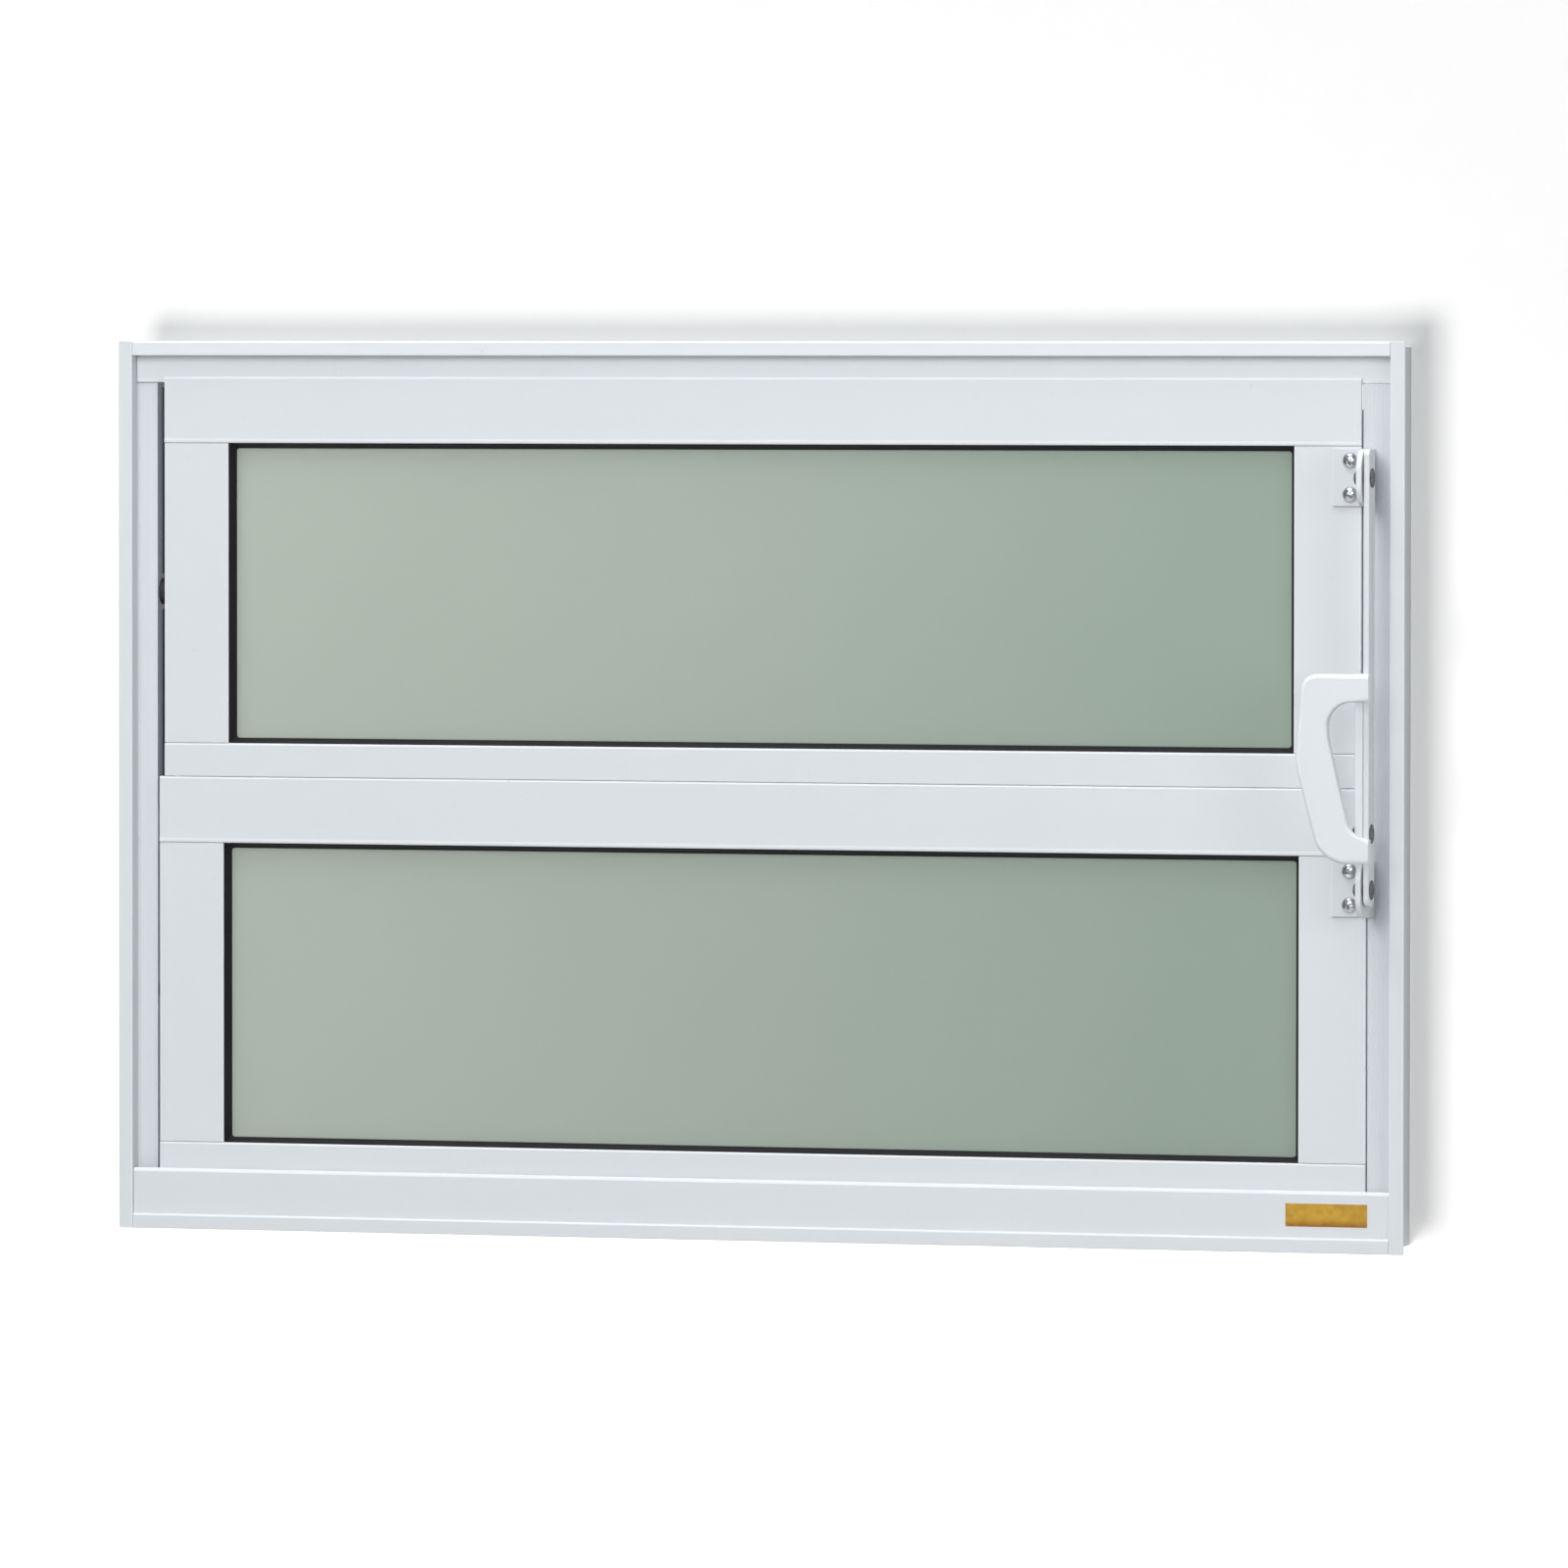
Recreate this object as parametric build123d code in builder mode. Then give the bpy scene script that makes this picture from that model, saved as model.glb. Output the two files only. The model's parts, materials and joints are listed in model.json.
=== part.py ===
"""Two-sash horizontal pivot window in powder-coated aluminium, with a link bar and pull handle.

Millimetres. X runs left to right as seen from the room, Y runs from the room outwards and
Z runs up. The origin is on the underside of the sill's web, half way along the window, in
the vertical plane of the pivot axes.
"""
import os
from build123d import *

# Whole window
frame_width = 600.0
frame_height = 400.0
frame_depth = 31.0
pivot_setback = 15.0
joint_gap = 0.1

# Frame profiles
lip_width = 6.5
lip_thickness = 1.5
frame_wall = 1.3
web_end_trim = 2.4
rear_rib = 3.0
jamb_box_width = 9.3
jamb_box_depth = 18.5
jamb_strip_setback = 7.5
head_box_height = 12.1
head_box_depth = 20.0
head_strip_setback = 6.2
upstand_height = 20.7
upstand_thickness = 1.5
upstand_setback = 1.2
upstand_nose = 2.2
edge_radius = 0.7

# Sash profiles
sill_clearance = 5.6
meeting_gap = 1.1
head_lap = 2.6
pivot_rise = 0.55
lower_side_gap = 2.5
upper_side_gap = 4.9
sash_setback = 4.0
sash_depth = 22.0
sash_wall = 1.3
stile_width = 30.5
top_rail_body = 15.8
top_flange_height = 14.0
bottom_rail_body = 14.0
bottom_flange_height = 13.0
flange_thickness = 1.5
flange_nose = 2.2

# Glazing
groove_depth = 8.0
glass_thickness = 4.0
gasket_thickness = 4.0
gasket_lip = 2.0
edge_cover = 6.0

# Pivots
pivot_pin_radius = 3.0
pivot_clearance = 0.06
pivot_collar_radius = 5.0
pivot_collar_length = 3.0
bush_spigot_radius = 4.5
bush_spigot_length = 6.0
bush_flange_radius = 6.0
bush_end_float = 0.5
press_clearance = 0.03

# Pile seals
left_seal_front = -4.0
right_seal_front = 4.0
seal_depth = 5.0
seal_end_gap = 2.8
seal_break = 2.0
seal_clearance = 0.4

# Brackets, screws and link rivets
bracket_plate = 18.5
bracket_flange = 24.5
bracket_overhang = 3.3
bracket_thickness = 1.5
bracket_height = 25.1
bracket_corner_radius = 9.0
pin_below_top_rail = 13.8
pin_standoff = 18.0
screw_spacing = 14.9
screw_from_edge = 8.3
screw_shank_radius = 1.75
screw_shank_length = 9.0
screw_head_radius = 3.5
screw_head_height = 2.4
screw_head_rounding = 1.8
screw_recess_width = 1.0
screw_recess_length = 3.8
screw_recess_depth = 1.2
rivet_radius = 2.4
rivet_tail_radius = 3.1
rivet_tail_length = 2.0
rivet_head_radius = 4.3
rivet_head_height = 0.9
rivet_edge = 0.4

# Link bar and washers
bar_thickness = 2.5
bar_width = 9.5
bar_above_upper_pin = 12.6
bar_below_lower_pin = 7.4
bar_top_radius = 2.5
bar_bottom_radius = 4.5
washer_thickness = 1.5
washer_radius = 4.5
washer_clearance = 0.1

# Handle
handle_standoff = 29.5
handle_plate = 4.5
handle_width = 33.5
handle_height = 83.0
handle_overhang = 2.8
handle_bottom_above_lower_pin = 11.7
handle_arm_top = 12.4
handle_arm_bottom = 10.8
handle_bow = 14.8
handle_waist_drop = 39.4
handle_top_lean = 2.8
handle_foot_inset = 11.5
handle_head_radius = 7.5
handle_waist_radius = 30.0
handle_foot_radius = 16.0
grip_head_radius = 10.5
grip_foot_radius = 9.0
grip_shoulder_drop = 15.2
grip_slope = 9.9
grip_rise = 2.0
handle_edge = 1.2
spine_thickness = 3.6
spine_proud = 1.1
spine_end_radius = 4.0
handle_rivet_above_arm = 2.05
handle_rivet_edge = 4.9

# Places worked out from the sizes
lip_front = -pivot_setback
lip_back = lip_front + lip_thickness
frame_rear = lip_front + frame_depth
half_width = frame_width / 2
web_inner = half_width - lip_width
web_outer = web_inner + frame_wall
lip_bottom = frame_wall - lip_width
lip_top = lip_bottom + frame_height
head_web_inner = lip_top - lip_width
head_box_bottom = head_web_inner - head_box_height
head_strip = lip_front + head_strip_setback
jamb_face = web_inner - jamb_box_width
jamb_strip = lip_front + jamb_strip_setback
upstand_front = lip_front + upstand_setback
upstand_top = frame_wall + upstand_height
sash_front = lip_front + sash_setback
sash_rear = sash_front + sash_depth
top_rail_height = top_rail_body + top_flange_height
sash_bottom = frame_wall + sill_clearance + bottom_flange_height
sash_stack = head_box_bottom + head_lap - sash_bottom
glass_height = sash_stack / 2 - top_rail_height - bottom_rail_body - meeting_gap / 2
glass_above_pivot = glass_height / 2 - pivot_rise
glass_below_pivot = glass_height / 2 + pivot_rise
lower_pivot_height = sash_bottom + bottom_rail_body + glass_below_pivot
upper_pivot_height = head_box_bottom + head_lap - top_rail_height - glass_above_pivot
seal_reach = glass_above_pivot + top_rail_body - seal_end_gap
groove_front = sash_front + sash_wall
glass_front = groove_front + gasket_thickness
glass_rear = glass_front + glass_thickness
groove_rear = glass_rear + gasket_thickness
pin_y = sash_front - pin_standoff
bracket_face = jamb_face - lower_side_gap + bracket_overhang
screw_x = bracket_face - bracket_plate + screw_from_edge
bar_left = bracket_face + washer_thickness + 2 * washer_clearance
bar_right = bar_left + bar_thickness
bar_front = pin_y - bar_width / 2
bar_rear = pin_y + bar_width / 2
pin_above_pivot = glass_above_pivot - pin_below_top_rail
upper_pin_height = upper_pivot_height + pin_above_pivot
lower_pin_height = lower_pivot_height + pin_above_pivot
bar_top = upper_pin_height + bar_above_upper_pin
bar_bottom = lower_pin_height - bar_below_lower_pin
handle_back = sash_front - handle_standoff
handle_right = bar_right + handle_overhang
handle_left = handle_right - handle_width
handle_bottom = lower_pin_height + handle_bottom_above_lower_pin
handle_top = handle_bottom + handle_height
grip_left = handle_left + handle_bow
grip_top = handle_top - handle_arm_top
grip_bottom = handle_bottom + handle_arm_bottom
handle_plane = Plane(origin=(0, handle_back, 0), x_dir=(1, 0, 0), z_dir=(0, -1, 0))
spine_left = bar_left - spine_thickness
spine_front = bar_front - spine_proud
handle_rivet_height = grip_bottom + handle_rivet_above_arm
spine_bottom = handle_rivet_height - handle_rivet_edge


def box_sketch(low_x, high_x, low_y, high_y, mode=Mode.ADD):
    """Draw a rectangle between two corners of the open sketch."""
    with Locations(((low_x + high_x) / 2, (low_y + high_y) / 2)):
        Rectangle(high_x - low_x, high_y - low_y, mode=mode)


def finish(part, name):
    """Name a finished piece and write its file."""
    part.label = name
    export_step(part, f"parts/{name}.step")


def rail_plane(left_end, height):
    """Plane across a rail: the sketch's x is the window's Y, and its y is the window's Z."""
    return Plane(origin=(left_end, 0, height), x_dir=(0, 1, 0), z_dir=(1, 0, 0))


def point_vertices(sketch, points):
    """Choose the sketch's corners that lie at the given points."""
    return [
        corner
        for corner in sketch.vertices()
        if any((corner.center() - Vector(x, y)).length < 0.01 for x, y in points)
    ]


os.makedirs("parts", exist_ok=True)

# Head: front lip, web against the wall, and a hollow stop box that hangs from the web
head_length = 2 * (web_inner - joint_gap)
with BuildPart() as head:
    with BuildSketch(rail_plane(-head_length / 2, 0)) as head_profile:
        box_sketch(lip_front, lip_back, head_web_inner, lip_top)
        box_sketch(lip_front, frame_rear, head_web_inner, head_web_inner + frame_wall)
        box_sketch(head_strip, head_strip + head_box_depth, head_box_bottom, head_web_inner)
        box_sketch(
            head_strip + frame_wall,
            head_strip + head_box_depth - frame_wall,
            head_box_bottom + frame_wall,
            head_web_inner,
            Mode.SUBTRACT,
        )
        box_sketch(frame_rear - frame_wall, frame_rear, head_web_inner - rear_rib, head_web_inner)
    extrude(amount=head_length)
finish(head.part, "head")

# Sill: front lip, web, and the tall upstand that stands in front of the lower sash
with BuildPart() as sill:
    with BuildSketch(rail_plane(-head_length / 2, 0)) as sill_profile:
        box_sketch(lip_front, lip_back, lip_bottom, frame_wall)
        box_sketch(lip_front, frame_rear, 0, frame_wall)
        box_sketch(upstand_front, upstand_front + upstand_thickness, 0, upstand_top)
        box_sketch(
            upstand_front, upstand_front + upstand_nose, upstand_top - upstand_nose, upstand_top
        )
    extrude(amount=head_length)
finish(sill.part, "sill")

# Jambs: full height, with the stop box cut back to fit between the sill and the head's box
bush_gaps = {
    "lower": (lower_pivot_height, lower_side_gap),
    "upper": (upper_pivot_height, upper_side_gap),
}
jamb_box_bottom = frame_wall + joint_gap
jamb_box_top = head_box_bottom - joint_gap
for side, hand in (("left", -1), ("right", 1)):
    with BuildPart() as jamb:
        with BuildSketch(Plane.XY.offset(lip_bottom)):
            box_sketch(*sorted((hand * web_inner, hand * half_width)), lip_front, lip_back)
        extrude(amount=frame_height)
        with BuildSketch(Plane.XY.offset(lip_bottom + web_end_trim)):
            box_sketch(*sorted((hand * web_inner, hand * web_outer)), lip_back, frame_rear)
        extrude(amount=frame_height - 2 * web_end_trim)
        with BuildSketch(Plane.XY.offset(jamb_box_bottom)):
            box_sketch(
                *sorted((hand * (web_inner - rear_rib), hand * web_inner)),
                frame_rear - frame_wall,
                frame_rear,
            )
        extrude(amount=head_web_inner - rear_rib - joint_gap - jamb_box_bottom)
        with BuildSketch(Plane.XY.offset(jamb_box_bottom)):
            box_sketch(
                *sorted((hand * jamb_face, hand * web_inner)),
                jamb_strip,
                jamb_strip + jamb_box_depth,
            )
            box_sketch(
                *sorted((hand * (jamb_face + frame_wall), hand * web_inner)),
                jamb_strip + frame_wall,
                jamb_strip + jamb_box_depth - frame_wall,
                Mode.SUBTRACT,
            )
        extrude(amount=jamb_box_top - jamb_box_bottom)
        for pivot_height, gap in bush_gaps.values():
            bore = Plane(origin=(hand * jamb_face, 0, pivot_height), z_dir=(hand, 0, 0))
            with BuildSketch(bore):
                Circle(bush_spigot_radius + press_clearance)
            extrude(amount=frame_wall, mode=Mode.SUBTRACT)
    finish(jamb.part, f"{side}_jamb")

# Pivot bushes: a flange in the gap beside the sash, and a spigot through the jamb's wall
for level, (pivot_height, gap) in bush_gaps.items():
    for side, hand in (("left", -1), ("right", 1)):
        flange_plane = Plane(
            origin=(hand * (jamb_face - gap + bush_end_float), 0, pivot_height),
            z_dir=(hand, 0, 0),
        )
        flange_length = gap - bush_end_float
        with BuildPart() as bush:
            with BuildSketch(flange_plane):
                Circle(bush_flange_radius)
            extrude(amount=flange_length)
            with BuildSketch(flange_plane):
                Circle(bush_spigot_radius)
            extrude(amount=flange_length + bush_spigot_length)
            with BuildSketch(flange_plane):
                Circle(pivot_pin_radius + pivot_clearance)
            extrude(amount=flange_length + bush_spigot_length, mode=Mode.SUBTRACT)
        finish(bush.part, f"{level}_{side}_bush")

# Pile seals: dark strips in the gaps beside each sash, broken at the pivot bush
for level, (pivot_height, gap) in bush_gaps.items():
    for side, hand, seal_front in (("left", -1, left_seal_front), ("right", 1, right_seal_front)):
        with BuildPart() as seal:
            for low in (-seal_reach, bush_flange_radius + seal_break):
                with BuildSketch(Plane.XY.offset(pivot_height + low)):
                    box_sketch(
                        *sorted((hand * (jamb_face - gap + seal_clearance), hand * jamb_face)),
                        seal_front,
                        seal_front + seal_depth,
                    )
                extrude(amount=seal_reach - bush_flange_radius - seal_break)
        finish(seal.part, f"{level}_{side}_seal")


def build_top_rail(name, half_sash, pivot_height):
    """Top rail: a hollow body with a glazing groove below and a front flange above."""
    rail_bottom = glass_above_pivot
    body_top = rail_bottom + top_rail_body
    flange_top = rail_bottom + top_rail_height
    chamber_bottom = rail_bottom + groove_depth
    with BuildPart() as rail:
        with BuildSketch(rail_plane(-half_sash, pivot_height)) as profile:
            box_sketch(sash_front, sash_rear, rail_bottom, body_top)
            box_sketch(sash_front, sash_front + flange_thickness, body_top, flange_top)
            box_sketch(
                sash_front, sash_front + flange_nose, flange_top - flange_nose, flange_top
            )
            fillet(
                point_vertices(
                    profile, [(sash_front, flange_top), (sash_front, rail_bottom)]
                ),
                edge_radius,
            )
            box_sketch(groove_front, groove_rear, rail_bottom, chamber_bottom, Mode.SUBTRACT)
            box_sketch(
                groove_front,
                sash_rear - sash_wall,
                chamber_bottom + sash_wall,
                body_top - sash_wall,
                Mode.SUBTRACT,
            )
            box_sketch(
                groove_rear + sash_wall,
                sash_rear - sash_wall,
                rail_bottom + sash_wall,
                chamber_bottom,
                Mode.SUBTRACT,
            )
        extrude(amount=2 * half_sash)
    finish(rail.part, name)


def build_bottom_rail(name, half_sash, pivot_height):
    """Bottom rail: a hollow body with a glazing groove above and a rear flange below."""
    rail_top = -glass_below_pivot
    body_bottom = rail_top - bottom_rail_body
    chamber_top = rail_top - groove_depth
    with BuildPart() as rail:
        with BuildSketch(rail_plane(-half_sash, pivot_height)) as profile:
            box_sketch(sash_front, sash_rear, body_bottom, rail_top)
            box_sketch(
                sash_rear - flange_thickness,
                sash_rear,
                body_bottom - bottom_flange_height,
                body_bottom,
            )
            fillet(
                point_vertices(
                    profile, [(sash_front, rail_top), (sash_front, body_bottom)]
                ),
                edge_radius,
            )
            box_sketch(groove_front, groove_rear, chamber_top, rail_top, Mode.SUBTRACT)
            box_sketch(
                groove_front,
                sash_rear - sash_wall,
                body_bottom + sash_wall,
                chamber_top - sash_wall,
                Mode.SUBTRACT,
            )
            box_sketch(
                groove_rear + sash_wall,
                sash_rear - sash_wall,
                chamber_top,
                rail_top - sash_wall,
                Mode.SUBTRACT,
            )
        extrude(amount=2 * half_sash)
    finish(rail.part, name)


def build_stile(name, hand, half_sash, pivot_height, screw_heights):
    """Stile between the rails, with its glazing groove, pivot hole and screw holes."""
    stile_bottom = -glass_below_pivot + joint_gap
    stile_top = glass_above_pivot - joint_gap
    inner = half_sash - stile_width
    with BuildPart() as stile:
        with BuildSketch(Plane.XY.offset(pivot_height + stile_bottom)):
            box_sketch(*sorted((hand * inner, hand * half_sash)), sash_front, sash_rear)
            box_sketch(
                *sorted((hand * inner, hand * (inner + groove_depth))),
                groove_front,
                groove_rear,
                Mode.SUBTRACT,
            )
            box_sketch(
                *sorted((hand * (inner + groove_depth + sash_wall), hand * (half_sash - sash_wall))),
                sash_front + sash_wall,
                sash_rear - sash_wall,
                Mode.SUBTRACT,
            )
            box_sketch(
                *sorted((hand * (inner + sash_wall), hand * (inner + groove_depth))),
                groove_rear + sash_wall,
                sash_rear - sash_wall,
                Mode.SUBTRACT,
            )
        extrude(amount=stile_top - stile_bottom)
        with BuildSketch(Plane(origin=(hand * half_sash, 0, pivot_height), z_dir=(hand, 0, 0))):
            Circle(pivot_pin_radius + press_clearance)
        extrude(amount=-sash_wall, mode=Mode.SUBTRACT)
        for height in screw_heights:
            hole = Plane(origin=(screw_x, sash_front, pivot_height + height), z_dir=(0, 1, 0))
            with BuildSketch(hole):
                Circle(screw_shank_radius + press_clearance)
            extrude(amount=sash_wall, mode=Mode.SUBTRACT)
    finish(stile.part, name)


def build_gasket(name, near_y, half_glass, pivot_height):
    """Gasket: a black rubber frame that lies on one face of the glass."""
    middle = pivot_height + (glass_above_pivot - glass_below_pivot) / 2
    height = glass_above_pivot + glass_below_pivot
    with BuildPart() as gasket:
        with BuildSketch(Plane(origin=(0, near_y, middle), x_dir=(1, 0, 0), z_dir=(0, 1, 0))):
            Rectangle(2 * (half_glass + edge_cover), height + 2 * edge_cover)
            Rectangle(
                2 * (half_glass - gasket_lip), height - 2 * gasket_lip, mode=Mode.SUBTRACT
            )
        extrude(amount=gasket_thickness)
    finish(gasket.part, name)


def build_glass(name, half_glass, pivot_height):
    """Glass: one frosted pane, held in the grooves on all four sides."""
    middle = pivot_height + (glass_above_pivot - glass_below_pivot) / 2
    height = glass_above_pivot + glass_below_pivot
    with BuildPart() as pane:
        with BuildSketch(Plane(origin=(0, glass_front, middle), x_dir=(1, 0, 0), z_dir=(0, 1, 0))):
            Rectangle(2 * (half_glass + edge_cover), height + 2 * edge_cover)
        extrude(amount=glass_thickness)
    finish(pane.part, name)


def build_pivot(name, hand, half_sash, side_gap, pivot_height):
    """Pivot: a pin with a collar behind the stile's wall, which runs in the jamb's bush."""
    collar_face = half_sash - sash_wall - press_clearance
    pin_end = half_sash + side_gap + bush_spigot_length
    with BuildPart() as pivot:
        with BuildSketch(
            Plane(
                origin=(hand * (collar_face - pivot_collar_length), 0, pivot_height),
                z_dir=(hand, 0, 0),
            )
        ) as collar:
            Circle(pivot_collar_radius)
        extrude(amount=pivot_collar_length)
        with BuildSketch(Plane(origin=(hand * collar_face, 0, pivot_height), z_dir=(hand, 0, 0))):
            Circle(pivot_pin_radius)
        extrude(amount=pin_end - collar_face)
    finish(pivot.part, name)


def build_bracket(name, pin_height, screw_heights):
    """Bracket: a short angle screwed to the stile, whose rounded leg carries the link rivet."""
    low = pin_height - bracket_height / 2
    plate_front = sash_front - bracket_thickness
    with BuildPart() as bracket:
        with BuildSketch(Plane.XY.offset(low)):
            box_sketch(bracket_face - bracket_plate, bracket_face, plate_front, sash_front)
            box_sketch(
                bracket_face - bracket_thickness,
                bracket_face,
                sash_front - bracket_flange,
                sash_front,
            )
        extrude(amount=bracket_height)
        front_corners = bracket.edges().filter_by(Axis.X).group_by(Axis.Y)[0]
        fillet(front_corners, bracket_corner_radius)
        with BuildSketch(Plane(origin=(bracket_face, pin_y, pin_height), z_dir=(1, 0, 0))):
            Circle(rivet_radius + press_clearance)
        extrude(amount=-bracket_thickness, mode=Mode.SUBTRACT)
        for height in screw_heights:
            hole = Plane(origin=(screw_x, plate_front, height), z_dir=(0, 1, 0))
            with BuildSketch(hole):
                Circle(screw_shank_radius + press_clearance)
            extrude(amount=bracket_thickness, mode=Mode.SUBTRACT)
    finish(bracket.part, name)


def build_screws(name, screw_heights):
    """Screws: two cross-recessed pan heads that hold the bracket to the stile."""
    head_seat = sash_front - bracket_thickness
    with BuildPart() as screws:
        for height in screw_heights:
            with BuildSketch(Plane(origin=(screw_x, head_seat, height))):
                with BuildLine():
                    FilletPolyline(
                        (0, -screw_head_height),
                        (screw_head_radius, -screw_head_height),
                        (screw_head_radius, 0),
                        (screw_shank_radius, 0),
                        (screw_shank_radius, screw_shank_length),
                        (0, screw_shank_length),
                        radius=[0, screw_head_rounding, 0, 0, 0, 0],
                        close=True,
                    )
                make_face()
            revolve(axis=Axis((screw_x, head_seat, height), (0, 1, 0)))
            top = Plane(origin=(screw_x, head_seat - screw_head_height, height), z_dir=(0, -1, 0))
            with BuildSketch(top):
                Rectangle(screw_recess_length, screw_recess_width)
                Rectangle(screw_recess_width, screw_recess_length)
            extrude(amount=-screw_recess_depth, mode=Mode.SUBTRACT)
    finish(screws.part, name)


def build_rivet(name, tail_x, head_x, y, height, tail_length):
    """Rivet along X: a head on the right, the shank, and a formed tail on the left."""
    shank = Plane(origin=(tail_x, y, height), z_dir=(1, 0, 0))
    with BuildPart() as rivet:
        with BuildSketch(shank):
            Circle(rivet_radius)
        extrude(amount=head_x - tail_x)
        if tail_length:
            with BuildSketch(shank):
                Circle(rivet_tail_radius)
            extrude(amount=-tail_length)
        with BuildSketch(shank.offset(head_x - tail_x)):
            Circle(rivet_head_radius)
        extrude(amount=rivet_head_height)
        outer_rim = rivet.edges().filter_by(GeomType.CIRCLE).sort_by(Axis.X)[-1]
        fillet(outer_rim, rivet_edge)
    finish(rivet.part, name)


# Sashes: two equal hollow frames, the upper one a little narrower
for level, (pivot_height, gap) in bush_gaps.items():
    half_sash = jamb_face - gap
    half_glass = half_sash - stile_width
    pin_height = pivot_height + pin_above_pivot
    pin_screws = [pin_above_pivot - screw_spacing / 2, pin_above_pivot + screw_spacing / 2]
    screw_heights = [pivot_height + height for height in pin_screws]
    build_top_rail(f"{level}_top_rail", half_sash, pivot_height)
    build_bottom_rail(f"{level}_bottom_rail", half_sash, pivot_height)
    build_stile(f"{level}_left_stile", -1, half_sash, pivot_height, [])
    build_stile(f"{level}_right_stile", 1, half_sash, pivot_height, pin_screws)
    build_glass(f"{level}_glass", half_glass, pivot_height)
    build_gasket(f"{level}_front_gasket", groove_front, half_glass, pivot_height)
    build_gasket(f"{level}_rear_gasket", glass_rear, half_glass, pivot_height)
    build_pivot(f"{level}_left_pivot", -1, half_sash, gap, pivot_height)
    build_pivot(f"{level}_right_pivot", 1, half_sash, gap, pivot_height)
    build_bracket(f"{level}_bracket", pin_height, screw_heights)
    build_screws(f"{level}_bracket_screws", screw_heights)
    build_rivet(
        f"{level}_link_rivet",
        bracket_face - bracket_thickness,
        bar_right + washer_clearance,
        pin_y,
        pin_height,
        rivet_tail_length,
    )

# Link bar: a flat bar on edge, with running holes at the two link rivets
with BuildPart() as link_bar:
    with BuildSketch(rail_plane(bar_left, 0)) as bar_profile:
        box_sketch(bar_front, bar_rear, bar_bottom, bar_top)
        top_corners = point_vertices(bar_profile, [(bar_front, bar_top), (bar_rear, bar_top)])
        fillet(top_corners, bar_top_radius)
        bottom_corners = point_vertices(
            bar_profile, [(bar_front, bar_bottom), (bar_rear, bar_bottom)]
        )
        fillet(bottom_corners, bar_bottom_radius)
        with Locations((pin_y, upper_pin_height), (pin_y, lower_pin_height)):
            Circle(rivet_radius + pivot_clearance, mode=Mode.SUBTRACT)
        with Locations((pin_y, handle_rivet_height)):
            Circle(rivet_radius + press_clearance, mode=Mode.SUBTRACT)
    extrude(amount=bar_thickness)
finish(link_bar.part, "link_bar")

# Spacer washers between each bracket and the bar
for level, pin_height in (("upper", upper_pin_height), ("lower", lower_pin_height)):
    with BuildPart() as washer:
        with BuildSketch(
            Plane(origin=(bar_left - washer_thickness, pin_y, pin_height), z_dir=(1, 0, 0))
        ):
            Circle(washer_radius)
            Circle(rivet_radius + pivot_clearance, mode=Mode.SUBTRACT)
        extrude(amount=washer_thickness)
    finish(washer.part, f"{level}_link_washer")

# Handle: a thick bow facing the room, whose arms reach back to a spine on the bar's left side
head_corner = (handle_left + handle_top_lean, handle_top)
waist_corner = (handle_left, handle_top - handle_waist_drop)
foot_corner = (handle_left + handle_foot_inset, handle_bottom)
grip_head_corner = (grip_left, grip_top)
grip_waist_corner = (grip_left, grip_top - grip_shoulder_drop)
grip_foot_corner = (grip_left + grip_slope, grip_bottom + grip_rise)
with BuildPart() as handle:
    with BuildSketch(handle_plane) as bow:
        with BuildLine():
            Polyline(
                (handle_right, handle_bottom),
                (handle_right, handle_top),
                head_corner,
                waist_corner,
                foot_corner,
                close=True,
            )
        make_face()
        with BuildLine():
            Polyline(
                (handle_right, grip_bottom),
                (handle_right, grip_top),
                grip_head_corner,
                grip_waist_corner,
                grip_foot_corner,
                close=True,
            )
        make_face(mode=Mode.SUBTRACT)
        fillet(point_vertices(bow, [head_corner]), handle_head_radius)
        fillet(point_vertices(bow, [waist_corner, grip_waist_corner]), handle_waist_radius)
        fillet(point_vertices(bow, [foot_corner]), handle_foot_radius)
        fillet(point_vertices(bow, [grip_head_corner]), grip_head_radius)
        fillet(point_vertices(bow, [grip_foot_corner]), grip_foot_radius)
    extrude(amount=handle_plate)
    fillet(handle.edges().group_by(Axis.Y)[0], handle_edge)
    with BuildSketch(Plane.XY.offset(grip_top)):
        box_sketch(spine_left, bar_right, handle_back, bar_front - joint_gap)
    extrude(amount=handle_top - grip_top)
    with BuildSketch(Plane.XY.offset(handle_bottom)):
        box_sketch(bar_left, bar_right, handle_back, bar_front - joint_gap)
    extrude(amount=grip_bottom - handle_bottom)
    with BuildSketch(rail_plane(spine_left, 0)) as spine:
        box_sketch(spine_front, bar_rear, spine_bottom, handle_top)
        fillet(
            point_vertices(spine, [(bar_rear, spine_bottom), (bar_rear, handle_top)]),
            spine_end_radius,
        )
        box_sketch(handle_back, spine_front, spine_bottom, grip_bottom)
        with Locations((pin_y, handle_rivet_height)):
            Circle(rivet_radius + press_clearance, mode=Mode.SUBTRACT)
    extrude(amount=spine_thickness)
finish(handle.part, "handle")

build_rivet(
    "handle_rivet", spine_left, bar_right, pin_y, handle_rivet_height, rivet_tail_length
)
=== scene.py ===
"""A white two-sash horizontal pivot window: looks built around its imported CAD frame.

Sizes are in millimetres, with X along the window, Y from the room outwards and Z up. Those
of the camera, the lamps and the stage are in metres.
"""
import json

import bpy
import numpy as np
from mathutils import Matrix, Vector
from mathutils.geometry import delaunay_2d_cdt

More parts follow.
